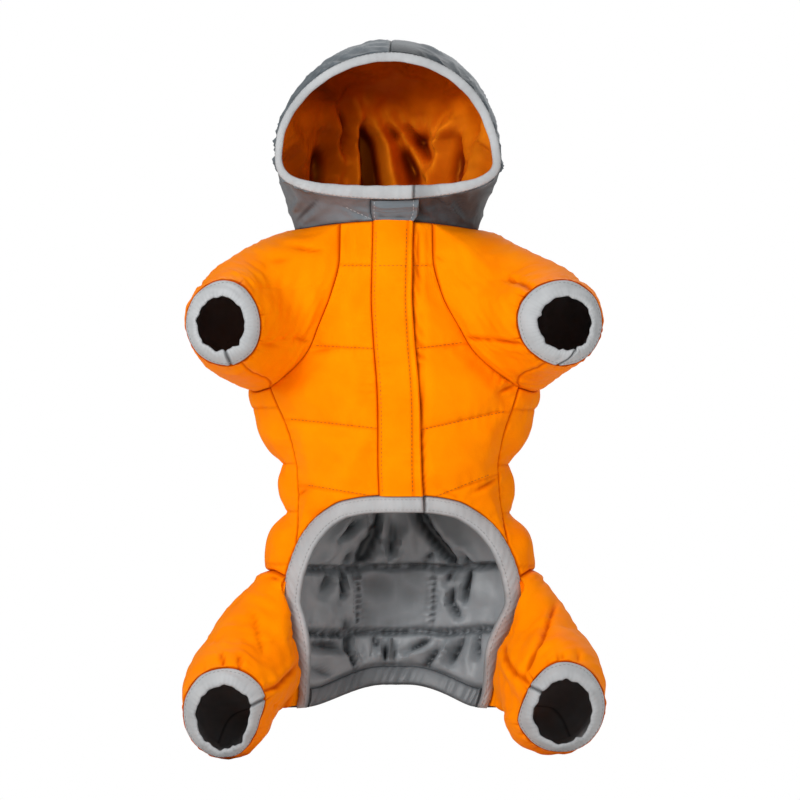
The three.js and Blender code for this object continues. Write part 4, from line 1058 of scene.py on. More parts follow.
def limb_cloth(name, side, seed, points, normals, turn, finer, look):
    """One sleeve or leg: quilted and filled, gathered into its cuff, with an underarm or inner leg
    seam. Returns its points once it has settled."""
    kind, mirrored = LIMBS[name], MIRRORED[side]
    around = np.radians(turn)
    round_it, up = runs(points)
    from_seam, from_cuff = up, up[-1:] - up
    away = np.minimum(from_seam, from_cuff)
    corner = sum(STEPS[part] for part in kind["inseam"]) * finer
    from_inseam = np.abs(round_it - round_it[:, corner:corner + 1])
    upward, toward = normals[..., 2], normals[..., 1]
    sunk, raised = kind["sunk"][side]
    settled = sunk * smooth(upward, 0.3, 0.95) + raised * smooth(-upward, 0.1, 0.8)
    settled = settled * np.sin(np.pi * up / up[-1:])
    points = points - normals * settled[..., None]
    x, z = points[..., 0], points[..., 2]
    table = SLEEVE_FOLDS if name == "sleeve" else LEG_FOLDS
    ahead, behind = table[side], table["right" if mirrored else "left"]
    seen, hidden = smooth(-toward, 0.0, 0.4), smooth(toward, 0.05, 0.4)
    slant = z + (2.5 if mirrored else -2.5) * np.sin(around) + 1.5 * wander(turn / 40, seed)
    fill = smooth(from_seam, 1, 14) * smooth(from_cuff, 3, 20)
    relief, _ = quilted(kind["quilts"], slant, round_it, fill, 2.3, 1.0, (7, 4, 0.7, 9 + seed))
    relief += 1.6 * folds(x, z, ahead) * seen
    relief += 1.4 * folds(x, z + 5, behind) * hidden
    relief += 0.3 * crumple(0.5 * round_it, 0.5 * up, 6 + seed) * fill
    relief += puckers(round_it, from_seam, 7, 5, 0.5, 5 + seed)
    if name == "leg":
        relief += bell(from_seam - 6, 5, 2.4) * smooth(normals[..., 0], 0.4, 0.8)
    relief += 0.5 * ripple(round_it, up, 3 + 4 * seed)
    phase = around * kind["gathers"][seed] + 1.3 * np.sin(around * 3 + seed)
    phase = phase + 0.8 * np.sin(around * 7 + 2 * seed)
    depth = 1.3 * smooth(12 - from_cuff, 0, 12) * (0.62 + 0.38 * np.sin(around * 5 + seed))
    depth = depth * (1 - 0.65 * smooth(upward, 0.2, 0.7))
    lobes = np.abs(np.sin(phase / 2)) ** 0.7
    relief += depth * (1.9 * lobes - 1.15)
    relief += groove(from_inseam, 1.0, 0.9) * smooth(away, 0, 3)
    relief = met(relief * smooth(away, 0, 2.2))
    thick = thickness(np.minimum(from_seam, from_cuff + 1.2), SHELL)
    _, outside = out_from(points, normals, 0, relief, thick)
    inside = points + normals * (0.45 * np.minimum(relief, 0))[..., None]
    # Painted shade in the clefts of the seams and in narrow creases, in short dark ticks between
    # some gathers near the cuff, and along the cuff's edge.
    crease = creases(x, z, ahead) * seen + creases(x, z + 5, behind) * hidden
    sparse = smooth(np.sin(around * 7 + 2 * seed) + 0.6 * np.sin(around * 11), -0.2, 0.5)
    ticks = smooth(0.42 - lobes, 0, 0.3) * np.exp(-from_cuff / 4.5) * sparse
    painted_shade = shaded(np.minimum(from_seam, from_inseam), crease)
    painted_shade = met(most(painted_shade, 0.85 * ticks, bell(from_cuff, 0.8, 0.6)))
    sew(f"{name}_{side}", [(inside, cleft(outside, from_seam), painted_shade)], look,
        mirrored, faced=kind["faced"] * finer, facing=[normals])
    return points


def cuff_tape(name, side, seed, turn, look):
    """Elastic tape from a limb's last ring to the ragged mouth of its cuff, joined once."""
    kind, around = LIMBS[name], np.radians(turn)
    ring, cuff = kind["rings"][-1], kind["cuff"]
    start, end = kind["join"][side]
    hole = (ring[0] + cuff[3], ring[1] - cuff[2], ring[2] - cuff[4], *cuff[:2], *ring[5:])
    middle = np.array(hole[:3])
    ragged = 1 + sum(size * np.sin(around * waves + seed * waves)
                     for waves, size in ((5, 0.012), (8, 0.014), (13, 0.013), (21, 0.008)))
    for at, width, size in (*kind["notches"][side], (end, 3, 0.07)):
        ragged = ragged + bell(turned(turn, at), width, size)
    mouth = middle + (ring_point(hole, turn[0]) - middle) * ragged[0][:, None]
    u = np.linspace(0, 1, CUFF_ACROSS)[:, None]
    tape = mix(ring_point(ring, turn[0]), mouth, u[..., None])
    tape[..., 1] -= 2.4 * np.sin(np.pi * u) ** 0.8
    outward = closed(tube_normals(tape[:, :-1]))
    join = np.radians(turned(turn, mix(start, end, u))) * np.linalg.norm(tape - middle, axis=-1)
    run, across = runs(tape)
    edge = np.minimum(across, across[-1:] - across)
    pulled = 0.12 * np.sin(around * 2 * kind["gathers"][seed] + 1.5 * np.sin(around * 4 + seed))
    relief = pulled * (0.1 + 0.9 * u ** 2) + groove(join, 0.9, 1.5) + bell(join, 3, 0.5)
    relief = met((relief + 0.34 * ripple(run, across, 2 + seed)) * smooth(edge, 0, 1))
    inside, outside = out_from(tape, outward, 0, relief, thickness(edge, TAPE, 1.6))
    # Painted shade along both edges of the tape, at its join and in the creases where it is pulled
    # in.
    creased = 0.1 * smooth(-pulled, 0.04, 0.12) * u ** 2
    painted_shade = met(most(bell(across, 0.7, 0.9), bell(join, 0.9, 0.85), creased))
    sew(f"{name}_cuff_{side}", [(inside, cleft(outside, across), painted_shade)], look,
        MIRRORED[side], facing=[outward])


def build_limbs(name, finer, look, cuff_look, lining_look):
    """Both sleeves or both legs, each with its cuff tape and the dark lining behind the cuff."""
    points, normals, turn = limb(LIMBS[name], finer)
    points, normals, turn = closed(points), closed(normals), np.append(turn, turn[0] + 360)[None]
    lined = slice(STEPS["limb"] * finer * 2 // 3, None)
    round_it, up = runs(points)
    for seed, (side, mirrored) in enumerate(MIRRORED.items()):
        inner = limb_cloth(name, side, seed, points, normals, turn, finer, look)
        cuff_tape(name, side, seed, turn, cuff_look)
        slack = met(0.5 + 0.4 * ripple(round_it[lined], up[lined], 5 + seed))
        inside = inner[lined] - normals[lined] * (NYLON + LINING_GAP + slack)[..., None]
        grid = (inside, inside + normals[lined] * SKIN, 0 * slack)
        sew(f"{name}_lining_{side}", [grid], lining_look, mirrored)


# ---- Hood ----


def build_hood(finer, look):
    """The two halves of the hood and the end of the placket that laps over its chin."""
    neck = neckline(0)
    back = seam("across", finer)[:STEPS["across"] * finer // 2 + 1, 0]
    neck_front = seam("raglan", finer)[-1, 0]
    for side, mirrored in MIRRORED.items():
        inner = -sewn_edge(neck) if mirrored else sewn_edge(neck)
        front = np.linspace(angle_at(inner, neck), neck_front, STEPS["belly"] * finer + 1)
        angles = np.concatenate([front, seam("neck_side", finer)[1:, 0], back[1:]])
        drawn = -FACE_DRAWN if mirrored else FACE_DRAWN
        base, normals, angle, _ = hood_grid(angles, STEPS["hood"] * finer, drawn=drawn)
        x, z = base[..., 0], base[..., 2]
        run, up = runs(base)
        from_neck, from_face = up, up[-1:] - up
        from_back = run[:, -1:] - run
        away = np.minimum(np.minimum(from_neck, from_back), run)
        seed = 2.0 if mirrored else 7.0
        lean = run[-1:] - run[-1:].mean() + (0.55 if mirrored else -0.5) * from_face
        rim = 0.6 - np.abs(np.sin(np.pi * lean / 10.5 + 1.5 * wander(lean / 17, seed))) ** 0.8
        rim = rim * (0.55 + 0.45 * wander(lean / 24, seed + 3)) * np.exp(-from_face / 16)
        rim = rim * (0.4 + 0.6 * smooth(from_face, 0, 3.5))
        lower = smooth(-z, -185, -150)
        relief = (3.9 * rim - 1.2 * lower * smooth(from_face, 2, 12)) * smooth(angle, 30, 60)
        creased = crumple(run * 0.42, up * 0.55, seed + 2) * smooth(angle, 40, 80)
        relief += 1.7 * creased + 0.4 * ripple(run, up, seed)
        relief += puckers(run, from_neck, 9, 9, 0.8, seed)
        relief += puckers(up, from_back, 9, 7, 0.55, seed + 4)
        before = smooth(-normals[..., 1], 0, 0.4)
        relief += folds(x, z, NECK_FOLDS[side]) * before
        relief *= smooth(away, 0, 2.5)
        if not mirrored:
            relief *= smooth(x, 13, 20)
        relief = np.maximum(relief, -NYLON * 0.9)
        thick = mix(0.5, NYLON, smooth(away, 0, 2.2))
        inside = base + normals * (0.6 * relief)[..., None]
        outside = cleft(base + normals * (relief + thick)[..., None], away)
        # Painted shade in narrow creases of the neck and the seams' clefts, and between the ridges
        # of the creases along the face; on the right half, a painted shadow of the placket's end
        # over the front of the neck, deepest beside it.
        crease = 0.7 * creases(x, z, NECK_FOLDS[side]) * before
        tone = 0.5 * smooth(0.1 - rim, 0, 0.4) * np.exp(-from_face / 22)
        painted_shade = most(shaded(away, crease), tone * smooth(angle, 30, 60))
        if not mirrored:
            beside_flap = np.maximum(x - free_edge(neck), 0)
            painted_shade = most(painted_shade, (0.4 + 0.4 * np.exp(-beside_flap / 9)) * before)
        sew("hood_" + side, [(inside, outside, painted_shade)], look, mirrored,
            facing=[normals])

    start, end = angle_at(sewn_edge(neck), neck), angle_at(free_edge(neck), neck)
    base, normals, _, _ = hood_grid(np.linspace(start, end, PLACKET_ACROSS), PLACKET_NECK_UP - 1)
    run, up = runs(base)
    from_free = run[:, -1:] - run
    away = np.minimum(np.minimum(run / 3, from_free / 1.3), up / 2)
    inset = mix(0.6, NYLON + 1.0, smooth(run, 0, 4.5)) + 1.1 * smooth(4 - from_free, 0, 4)
    relief = 0.6 * np.sin(np.pi * run / run[:, -1:]) + 0.25 * ripple(run, up, 3)
    crease = folds(base[..., 0], base[..., 2], FLAP_FOLDS)
    relief += groove(run - run[:, -1:] + 3.2, 0.7, 0.35) + crease
    relief *= smooth(away, 0, 1)
    tucked = 0.12 + 0.88 * smooth(up[-1:] - up, 0.5, 5.5)
    thick = thickness(away * 3, SHELL) * tucked
    inside, outside = out_from(base, normals, inset * tucked, relief * tucked, thick)
    # Painted shade along the sewn edge and in the flap's folds.
    painted_shade = most(bell(run, 0.8, 0.3), 0.2 * smooth(-crease, 0.1, 0.5))
    sew("placket_neck", [(inside, outside, painted_shade)], look, facing=[normals])


def build_hood_lining(look):
    """Satin lining of the hood, hanging in soft folds from the crown to the neck."""
    angles = np.linspace(0, 360, SATIN_GRID[0], endpoint=False)
    base, normals, angle, rise = hood_grid(angles, SATIN_GRID[1] - 1, first=0.06, ring=True)
    x, z = base[..., 0], base[..., 2]
    seen = smooth(normals[..., 1], 0.0, 0.45)
    ends = np.sin(np.pi * np.clip(rise * 1.06, 0, 1)) ** 0.6
    rows = np.array(SATIN_FOLDS) * (1, 1, 1, 1, 1.55, 0.52)
    inward = folds(x, z, rows, 2) * seen * smooth(rise, 0.0, 0.1)
    for at, width, depth in HOOD_SIDE_FOLDS:
        inward += bell(turned(angle, at), width / 2, depth) * ends * (1 - 0.75 * seen)
    run, up = runs(closed(base))
    run, up = run[:, :-1], up[:, :-1]
    inward += 1.1 * ripple(run * 0.5, up * 0.35, 3) + 0.35 * ripple(run, up, 8)
    from_face = up[-1:] - up
    inward = (1.7 * inward + 9 * seen + 1.4) * smooth(from_face, 0, 26)
    gather = np.sin(2 * np.pi * run[-1:] / 6.4 + 1.6 * wander(run[-1:] / 19, 5))
    inward = np.maximum(inward + 0.6 * (gather * np.exp(-from_face / 9)), 0)
    inside = base - normals * (NYLON + HOOD_LINING_GAP + inward)[..., None]
    # Painted shade: darker where the satin falls back into its folds, and over a band below the
    # crown and over its left side, where little light reaches.
    painted_shade = 1.06 * smooth(10.5 - inward, 0, 9) * seen * smooth(from_face, 12, 30)
    painted_shade = most(painted_shade, 0.62 * smooth(z, 180, 208) + 0.4 * smooth(-x, 10, 55))
    grid = (closed(inside), closed(inside + normals * SKIN), closed(painted_shade))
    sew("hood_lining", [grid], look)


def build_face_tape(look):
    """Tape round the face, cut as one length that laps over its own end beside the placket."""
    angle = np.linspace(0, 360, FACE_GRID[0], endpoint=False)[None]
    v = np.linspace(0, 1, FACE_GRID[1])[:, None]
    swing = np.cos(np.radians(angle))
    middle = np.where(swing > 0, FACE_TAPE["chin"], FACE_TAPE["top"])
    at_side = FACE_TAPE["side"] - 1.4 * smooth(-np.sin(np.radians(angle)), 0.3, 1)
    width = v * mix(at_side, middle, np.abs(swing)) - FACE_TAPE["outside"]
    towards = unit(np.stack([-np.sin(np.radians(angle)), 0 * angle, swing], -1))
    rim = hood_point(angle, np.ones_like(angle))
    run = runs(rim)[0]
    width = width + 0.15 * v * np.sin(2 * np.pi * run / 17 + wander(run / 29, 3))
    base = rim + towards * width[..., None]
    base[..., 1] -= LAYER_GAP + FACE_TAPE["round"] * np.sin(np.pi * v) + 0 * swing
    normals = tube_normals(base)
    edge = edge_distance(closed(base), sides=False)[:, :-1]
    from_lap = base[..., 0] - FACE_LAP
    lap = smooth(swing, 0.2, 0.5) * smooth(-from_lap, -0.4, 0.4) * smooth(from_lap, -34, -8)
    relief = 0.35 * np.sin(np.pi * v) ** 0.7 + 2.2 * lap
    relief += 0.13 * np.sin(2 * np.pi * run / 6.3 + 2.2 * wander(run / 12, 2))
    relief = (relief + 0.2 * ripple(run, v * 8, 4)) * smooth(edge, 0, 1)
    inside, outside = out_from(base, normals, 0, relief, thickness(edge, TAPE, 1.8))
    # Painted shadow beside the tape's lapping end and, fainter, along the length past it.
    past_lap = 0.3 * smooth(from_lap, 0, 2) * smooth(-from_lap, -22, -4)
    painted_shade = most(bell(from_lap - 0.8, 0.9, 0.8), past_lap, 0 * edge) * smooth(swing, 0.2, 0.5)
    sew("hood_binding", [(closed(inside), closed(outside), closed(painted_shade))], look,
        facing=[closed(normals)])


# ---- Threads ----


def on_cloth(names, x, z, front=True):
    """Points on laid cloth at given places seen from the belly side, with its outward direction:
    the mean of the nearest points of its surface, weighted by closeness."""
    points, normals = [flat(grid for name in names for grid in LAID[name][k]) for k in (0, 1)]
    facing = normals[:, 1] < 0.2 if front else normals[:, 1] > -0.2
    facing &= (points[:, 0] > np.min(x) - 4) & (points[:, 0] < np.max(x) + 4)
    facing &= (points[:, 2] > np.min(z) - 4) & (points[:, 2] < np.max(z) + 4)
    points, normals = points[facing], normals[facing]
    gap = (points[:, 0] - x[:, None]) ** 2 + (points[:, 2] - z[:, None]) ** 2
    best = np.argpartition(gap, 4, axis=1)[:, :4]
    weight = 1 / (np.take_along_axis(gap, best, 1) + 0.01)
    near_y = (points[best, 1] * weight).sum(1) / weight.sum(1)
    return np.column_stack([x, near_y, z]), unit((normals[best] * weight[..., None]).sum(1))


def stitches(points, normals, pitch=2.7, share=0.68, radius=0.17):
    """Rows of thread along a line on the cloth: each stitch is a short four-sided spindle that
    leaves the cloth, runs along it and dives back in."""
    run = np.concatenate([[0], np.cumsum(np.linalg.norm(np.diff(points, axis=0), axis=-1))])
    starts = np.arange(0.3, run[-1] - pitch, pitch)
    t = np.array([0, 0.2, 0.8, 1]) * pitch * share
    at = starts[:, None] + t
    centre = np.stack([np.interp(at, run, points[:, k]) for k in range(3)], -1)
    up = unit(np.stack([np.interp(at, run, normals[:, k]) for k in range(3)], -1))
    along = unit(centre[:, -1:] - centre[:, :1])
    side = unit(np.cross(along, up))
    lift = np.array([-0.12, 0.12, 0.12, -0.12])[:, None]
    wide = np.array([0.25, 1, 1, 0.25])[:, None] * radius
    corners = [centre + up * lift + wide * (np.cos(a) * side + np.sin(a) * up)
               for a in np.radians([45, 135, 225, 315])]
    vertices = np.stack(corners, 2).reshape(-1, 3)
    ring = np.arange(4)
    body = np.concatenate([np.stack([4 * k + ring, 4 * k + 4 + ring, 4 * k + 4 + (ring + 1) % 4,
                                     4 * k + (ring + 1) % 4], -1) for k in range(3)])
    one = np.concatenate([body, [[0, 1, 2, 3], [15, 14, 13, 12]]])
    faces = (one[None] + 16 * np.arange(len(starts))[:, None, None]).reshape(-1, 4)
    return vertices, faces


def add_threads(name, lines, look):
    """One object from several lines of stitches."""
    parts = [stitches(*line) for line in lines]
    starts = np.cumsum([0, *[len(v) for v, _ in parts[:-1]]])
    points = np.concatenate([v for v, _ in parts])
    faces = np.concatenate([f + s for (_, f), s in zip(parts, starts)])
    finish = np.zeros(len(faces), np.int32)
    even, no_uv = np.zeros(len(points)), np.zeros((len(faces), 4, 2))
    piece = add_mesh(name, points, even, faces, no_uv, finish, look)
    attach(piece, "root")


def level_stitches(names, start, end, front=True):
    """A line of stitches between two places seen from the belly side, left to right."""
    (x0, z0), (x1, z1) = start, end
    count = int(np.hypot(x1 - x0, z1 - z0)) + 2
    return on_cloth(names, np.linspace(x0, x1, count), np.linspace(z0, z1, count), front)


def row_of(name, row=None, column=None):
    """A row or column of laid cloth as a line to sew along."""
    part = row if column is None else (slice(None), column)
    (points,), (normals,) = LAID[name]
    return points[part], normals[part]


def build_threads(orange, gray, pale, dark):
    """All the sewing that shows: quilting rows, edge stitching and the patch on the lining."""
    def sways(x, z):
        return x + follow(SWAY, 1, z), z

    quilts = []
    for side, sign, inner in (("left", -1, lambda z: -sewn_edge(z)), ("right", 1, free_edge)):
        for at_flap, at_side in BELLY_QUILTS[side][1:-1]:
            edge = min(follow(TRUNK, HALF, at_side) * 0.9, edge_of_panel(at_side)) - 1.5
            start, end = sways(sign * (inner(at_flap) + 0.8), at_flap), sways(sign * edge, at_side)
            quilts.append(level_stitches(["front_" + side], start, end))
    z = np.linspace(-59, 111, 180)
    for x in (free_edge(z) - stitch_inset(z), sewn_edge(z) + 1.9):
        quilts.append(on_cloth(["placket"], *sways(x, z)))
    quilts.append(level_stitches(["placket"], sways(-5, FLAP_QUILT), sways(14, FLAP_QUILT)))
    for side in MIRRORED:
        (points,), (normals,) = LAID["sleeve_" + side]
        quilts.append(level_ring(points, normals, LIMBS["sleeve"]["quilts"][1]))
    for height in BACK_QUILTS[1:-1]:
        half = follow(TRUNK, HALF, height) * 0.93
        start, end = sways(-half, height), sways(half, height)
        quilts.append(level_stitches(["back"], start, end, front=False))
    add_threads("stitches_quilting", [q for q in quilts if len(q[0]) > 3], orange)

    high, low = LINING_SEAMS
    lining = ["back_lining"]
    darks = [level_stitches(lining, (x + 5, high - 2), (x + 4.5, low + 9)) for x in PATCH_SIDES]
    darks += [level_stitches(lining, (-62, z - 1.4), (70, z + 1.6)) for z in LINING_SEAMS]
    darks += [row_of("back_hem", row=k) for k in (3, -4)]
    add_threads("stitches_lining", darks, dark)
    grays = [row_of("placket_neck", column=k) for k in (2, -4)]
    grays.append(level_stitches(["placket_neck", "hood_left"], (-31, 123.5), (-14, 115.6)))
    add_threads("stitches_gray", grays, gray)

    tapes = [row_of("hood_binding", row=2)]
    for side in MIRRORED:
        tapes += [row_of("belly_binding_" + side, row=k) for k in (3, -4)]
        tapes += [row_of(f"{name}_cuff_{side}", row=3) for name in LIMBS]
    add_threads("stitches_tape", tapes, pale)


def edge_of_panel(z):
    """How far from the midline the belly panel reaches at a height."""
    x, height = (SIDE_SEAM if z <= SIDE_SEAM[-1, 1] else RAGLAN).T
    return np.interp(z, height, x)


def level_ring(points, normals, height):
    """Line round a limb at one height, where it has such a line: the places where its columns
    cross that height, those on the same side of the limb in order."""
    z = points[..., 2]
    above = z > height
    crossing = above[1:] != above[:-1]
    has = crossing.any(0)
    row = crossing.argmax(0)
    column = np.arange(points.shape[1])
    t = ((height - z[row, column]) / (z[row + 1, column] - z[row, column] + 1e-9))[:, None]
    at = mix(points[row, column], points[row + 1, column], t)
    facing = unit(mix(normals[row, column], normals[row + 1, column], t))
    breaks = np.flatnonzero(np.diff(has.astype(int)) != 0) + 1
    spans = np.split(column, breaks)
    longest = max((span for span in spans if has[span[0]]), key=len, default=column[:0])
    return at[longest], facing[longest]


# ---- Materials ----


def linear(code):
    """Linear colour of an sRGB hex code."""
    parts = np.array([int(code[k:k + 2], 16) for k in (0, 2, 4)]) / 255
    return (*np.where(parts <= 0.04045, parts / 12.92, ((parts + 0.055) / 1.055) ** 2.4), 1.0)


def add(tree, kind, settings=None, **inputs):
    """Adds a shader node: settings are its own, and each input is a value or another node's output,
    named as the node names it or, as i0, by its place."""
    node = tree.nodes.new("ShaderNode" + kind)
    for key, value in (settings or {}).items():
        setattr(node, key, value)
    for key, value in inputs.items():
        socket = node.inputs[int(key[1:]) if key[1:].isdigit() else key.replace("_", " ")]
        if isinstance(value, bpy.types.NodeSocket):
            tree.links.new(value, socket)
        else:
            socket.default_value = value
    return node


def blank(name):
    """A material with an output and nothing else."""
    material = bpy.data.materials.new(name)
    material.use_nodes = True
    material.node_tree.nodes.clear()
    return material, material.node_tree


def cloth(name, light, dark, roughness, sheen, thread, crease, specular=0.4, glint="ffffff"):
    """Woven cloth. Its colour drifts a little between two dye tones, the weave is two crossed
    waves at the size of its threads, and fine creasing breaks up the shine. Painted shade darkens
    and deepens its colour in folds, creases and seams, as its painted_shade attribute says."""
    material, tree = blank(name)
    place = add(tree, "TexCoord").outputs
    drift = add(tree, "TexNoise", Vector=place["Object"], Scale=45.0, Detail=3.0)
    tone = add(tree, "ValToRGB", Fac=drift.outputs["Fac"])
    for stop, at, code in zip(tone.color_ramp.elements, (0.35, 0.65), (dark, light)):
        stop.position, stop.color = at, linear(code)
    turns = 6.2832 / (thread / 1000) / 20
    warp, weft = [add(tree, "TexWave", {"bands_direction": way}, Scale=turns, Vector=place["UV"])
                  for way in ("X", "Y")]
    weave = add(tree, "Math", {"operation": "MAXIMUM"}, i0=warp.outputs["Fac"],
                i1=weft.outputs["Fac"])
    fine = add(tree, "TexNoise", Vector=place["Object"], Scale=320.0, Detail=4.0, Roughness=0.6,
               Distortion=0.6)
    woven = add(tree, "Bump", Height=weave.outputs[0], Distance=0.00002, Strength=0.5)
    creased = add(tree, "Bump", Height=fine.outputs["Fac"], Distance=crease / 1000, Strength=1.0,
                  Normal=woven.outputs["Normal"])
    painted_shade = add(tree, "Attribute", {"attribute_name": "painted_shade"}).outputs["Fac"]
    # Painted shade: the colour deepens through its gamma and darkens through its value as the
    # attribute rises.
    shade_gamma, left = [add(tree, "Math", {"operation": "MULTIPLY_ADD"}, i0=painted_shade, i1=share, i2=1.0)
                    for share in (0.7, -0.82)]
    deepened_by_shade = add(tree, "Gamma", Color=tone.outputs["Color"], Gamma=shade_gamma.outputs[0])
    depth = add(tree, "HueSaturation", Color=deepened_by_shade.outputs["Color"], Value=left.outputs[0])
    skin = add(tree, "BsdfPrincipled", Base_Color=depth.outputs["Color"], Roughness=roughness,
               Sheen_Weight=sheen, Sheen_Roughness=0.5, Specular_IOR_Level=specular,
               Specular_Tint=linear(glint), Normal=creased.outputs["Normal"])
    add(tree, "OutputMaterial", Surface=skin.outputs["BSDF"])
    return material


def make_materials():
    """All finishes, by what they are made of."""
    return {
        # Calendered nylon over thin filling: a clear orange with a soft, broad shine.
        "nylon": cloth("quilted_nylon_taffeta", "ff8c02", "fd8401", 0.6, 0.0, 0.32, 0.2, 0.04,
                       "ff9a34"),
        # The same weave in gray, with the shine that shows each pucker.
        "gray": cloth("gray_nylon_taffeta", "6a7278", "60686e", 0.45, 0.0, 0.32, 0.2, 0.3),
        # The lining of the back: thinner and paler, so its folds show.
        "lining": cloth("pale_gray_nylon_lining", "969b9f", "888d91", 0.42, 0.0, 0.3, 0.12, 0.45),
        # Satin: long floats make it glossy on ridges; real and painted shade darken its folds.
        "satin": cloth("orange_satin_lining", "ee8214", "de740c", 0.36, 0.0, 0.28, 0.06, 0.7,
                       "ff8c1e"),
        # Woven elastic tape, matt and pale, with threads large enough to catch light.
        "tape": cloth("pale_gray_woven_tape", "b0b2b4", "a2a4a6", 0.75, 0.1, 0.7, 0.2, 0.25),
        # Thin dark lining: takes the light inside the limbs.
        "dark": cloth("dark_gray_lining", "808082", "747476", 0.6, 0.0, 0.3, 0.1, 0.25),
        "orange_thread": cloth("orange_polyester_thread", "8e4400", "803c00", 0.5, 0.0, 0.2, 0.02),
        "gray_thread": cloth("pale_polyester_thread", "c8c8c8", "bcbcbc", 0.5, 0.0, 0.2, 0.02),
        "tape_thread": cloth("gray_polyester_thread", "8c8c8c", "828282", 0.5, 0.0, 0.2, 0.02),
    }


# ---- Studio ----

VIEW_WIDTH = 0.512             # metres seen across
VIEW_ASIDE = 0.0038            # how far right the camera stands


def build_stage(sizes):
    """The white studio: its floor and lights, and the camera."""
    scene = bpy.context.scene
    scene.view_settings.view_transform = "Standard"
    world = bpy.data.worlds.new("white_studio")
    world.use_nodes = True
    tree = world.node_tree
    tree.nodes.clear()
    seen = add(tree, "LightPath").outputs["Is Camera Ray"]
    soft, plain = [add(tree, "Background", Color=linear("ffffff"), Strength=power)
                   for power in (0.34, 1.0)]
    either = add(tree, "MixShader", Fac=seen, i1=soft.outputs[0], i2=plain.outputs[0])
    add(tree, "OutputWorld", Surface=either.outputs[0])
    scene.world = world

    # Matt paper sweep, nearly white.
    mesh = bpy.data.meshes.new("studio_floor")
    low = CAD_BOX[0].z - 0.001
    corners = [(-3, -3, low), (3, -3, low), (3, 3, low), (-3, 3, low)]
    mesh.from_pydata(corners, [], [(0, 1, 2, 3)])
    paper, tree = blank("white_paper")
    skin = add(tree, "BsdfPrincipled", Base_Color=linear("f4f4f2"), Roughness=0.9)
    add(tree, "OutputMaterial", Surface=skin.outputs["BSDF"])
    mesh.materials.append(paper)
    put("studio_floor", mesh)

    for name, spot, size, power in (
            ("key_light", (-0.95, -1.45, 0.5), 0.6, sizes.key_power),
            ("fill_light", (1.1, -1.3, 0.15), 0.9, sizes.fill_power),
            ("top_light", (0.1, -0.1, 1.5), 1.2, sizes.fill_power),
            ("back_light", (0.3, 1.5, 0.8), 1.2, sizes.fill_power),
            ("hood_light", (-0.22, -0.5, 0.24), 0.12, sizes.fill_power * 0.07)):
        data = bpy.data.lights.new(name, "AREA")
        data.size, data.energy = size, power
        lamp = put(name, data)
        x, y, z = lamp.location = spot
        lamp.rotation_euler = np.arctan2(np.hypot(x, y), z), 0, np.arctan2(x, -y)

    data = bpy.data.cameras.new("camera")
    data.type, data.ortho_scale = "ORTHO", VIEW_WIDTH
    camera = put("camera", data)
    camera.location, camera.rotation_euler = (VIEW_ASIDE, -2, 0), (radians(90), 0, 0)
    scene.camera = camera


# ---- Settings and operators ----


class JumpsuitSettings(bpy.types.PropertyGroup):
    """How finely the cloth is made, and the studio it stands in."""

    trunk_steps: bpy.props.IntProperty(
        name="Trunk steps", description="Grid steps of trunk pieces for each step of the solids",
        default=8, min=2, max=10)
    limb_steps: bpy.props.IntProperty(
        name="Limb steps", default=6, min=3, max=9,
        description="Grid steps of the limbs, in threes, for each step of the solids")
    hood_steps: bpy.props.IntProperty(
        name="Hood steps", description="Grid steps of the hood for each step of the solids",
        default=8, min=2, max=10)
    key_power: bpy.props.FloatProperty(
        name="Key light", description="Power of the large light before the garment",
        default=17.0, min=0.0, unit="POWER")
    fill_power: bpy.props.FloatProperty(
        name="Fill light", description="Power of the lights beside and above the garment",
        default=6.0, min=0.0, unit="POWER")


def look(outside, inside=None):
    """Finishes of a piece's outside and of its inside, if that has its own."""
    return [FINISHES[outside], FINISHES[inside or outside]]


class Making(bpy.types.Operator):
    """Shared by all operators: finds the settings and makes its own part of the garment."""

    bl_options = {"REGISTER", "UNDO"}

    def execute(self, context):
        self.make(context.scene.jumpsuit)
        return {"FINISHED"}


FINISHES = {}


class JUMPSUIT_OT_belly(Making):
    """Sew both belly panels and the placket"""

    bl_idname = "jumpsuit.belly"
    bl_label = "Belly"

    def make(self, sizes):
        build_belly(sizes.trunk_steps, look("nylon", "dark"))


class JUMPSUIT_OT_back(Making):
    """Sew the back panel"""

    bl_idname = "jumpsuit.back"
    bl_label = "Back"

    def make(self, sizes):
        build_back(sizes.trunk_steps - 1, look("nylon", "dark"))


class JUMPSUIT_OT_back_lining(Making):
    """Sew the lining of the lower back and the casing along its hem"""

    bl_idname = "jumpsuit.back_lining"
    bl_label = "Back lining and hem"

    def make(self, sizes):
        build_back_lining(sizes.trunk_steps - 1, look("lining"))


class JUMPSUIT_OT_binding(Making):
    """Bind the belly opening"""

    bl_idname = "jumpsuit.binding"
    bl_label = "Belly binding"

    def make(self, sizes):
        build_binding(sizes.trunk_steps, look("tape"))


class JUMPSUIT_OT_sleeves(Making):
    """Sew both sleeves with their cuffs"""

    bl_idname = "jumpsuit.sleeves"
    bl_label = "Sleeves"

    def make(self, sizes):
        build_limbs("sleeve", sizes.limb_steps, look("nylon", "dark"), look("tape"), look("dark"))


class JUMPSUIT_OT_legs(Making):
    """Sew both legs with their cuffs"""

    bl_idname = "jumpsuit.legs"
    bl_label = "Legs"

    def make(self, sizes):
        build_limbs("leg", sizes.limb_steps, look("nylon", "dark"), look("tape"), look("dark"))


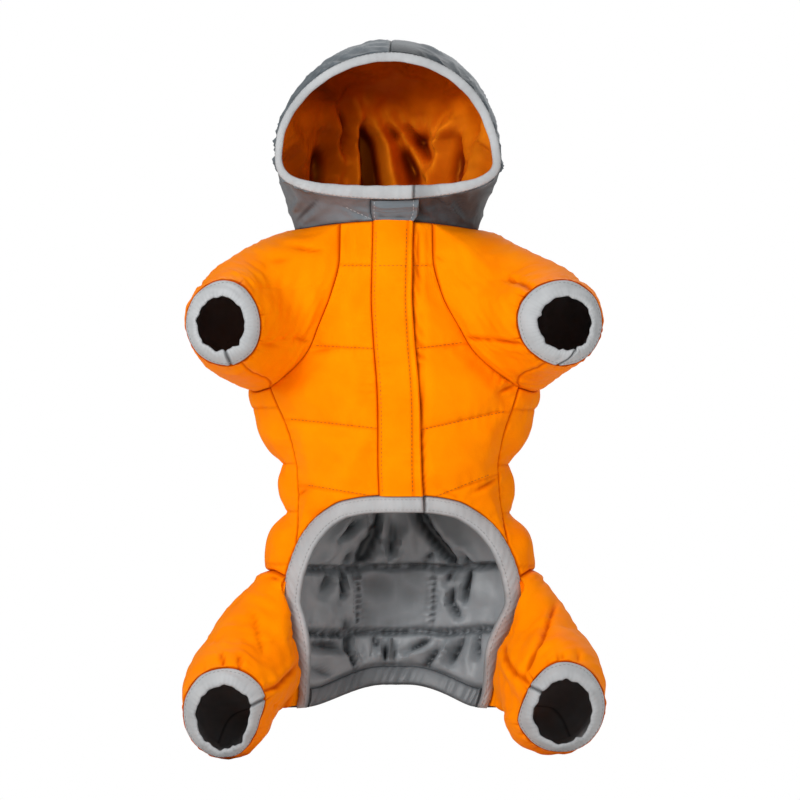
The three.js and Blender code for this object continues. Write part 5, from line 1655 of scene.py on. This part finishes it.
class JUMPSUIT_OT_hood(Making):
    """Sew the hood, its satin lining and the tape round the face"""

    bl_idname = "jumpsuit.hood"
    bl_label = "Hood"

    def make(self, sizes):
        build_hood(sizes.hood_steps, look("gray"))
        build_hood_lining(look("satin"))
        build_face_tape(look("tape"))


class JUMPSUIT_OT_threads(Making):
    """Sew the visible stitches"""

    bl_idname = "jumpsuit.threads"
    bl_label = "Stitches"

    def make(self, sizes):
        build_threads(*[[FINISHES[name]]
                        for name in ("orange_thread", "gray_thread", "tape_thread", "dark")])


class JUMPSUIT_OT_stage(Making):
    """Set the pale floor, the soft lights and the camera"""

    bl_idname = "jumpsuit.stage"
    bl_label = "Studio"

    def make(self, sizes):
        build_stage(sizes)


class JUMPSUIT_PT_panel(bpy.types.Panel):
    """The jumpsuit's sizes and operators"""

    bl_label = "Dog jumpsuit"
    bl_idname = "JUMPSUIT_PT_panel"
    bl_space_type = "VIEW_3D"
    bl_region_type = "UI"
    bl_category = "Jumpsuit"

    def draw(self, context):
        for field in JumpsuitSettings.__annotations__:
            self.layout.prop(context.scene.jumpsuit, field)
        for operator in OPERATORS:
            self.layout.operator(operator.bl_idname)


OPERATORS = (
    JUMPSUIT_OT_belly, JUMPSUIT_OT_back, JUMPSUIT_OT_back_lining, JUMPSUIT_OT_binding,
    JUMPSUIT_OT_sleeves, JUMPSUIT_OT_legs, JUMPSUIT_OT_hood, JUMPSUIT_OT_threads, JUMPSUIT_OT_stage,
)


def register():
    """Registers the settings, the operators and the panel."""
    for part in (JumpsuitSettings, *OPERATORS, JUMPSUIT_PT_panel):
        bpy.utils.register_class(part)
    bpy.types.Scene.jumpsuit = bpy.props.PointerProperty(type=JumpsuitSettings)


def unregister():
    """Removes what register added."""
    del bpy.types.Scene.jumpsuit
    for part in reversed((JumpsuitSettings, *OPERATORS, JUMPSUIT_PT_panel)):
        bpy.utils.unregister_class(part)


def main():
    """Sews the whole garment in the order of its pieces and sets the stage."""
    register()
    FINISHES.update(make_materials())
    for operator in OPERATORS:
        group, name = operator.bl_idname.split(".")
        getattr(getattr(bpy.ops, group), name)()


if __name__ == "__main__":
    main()
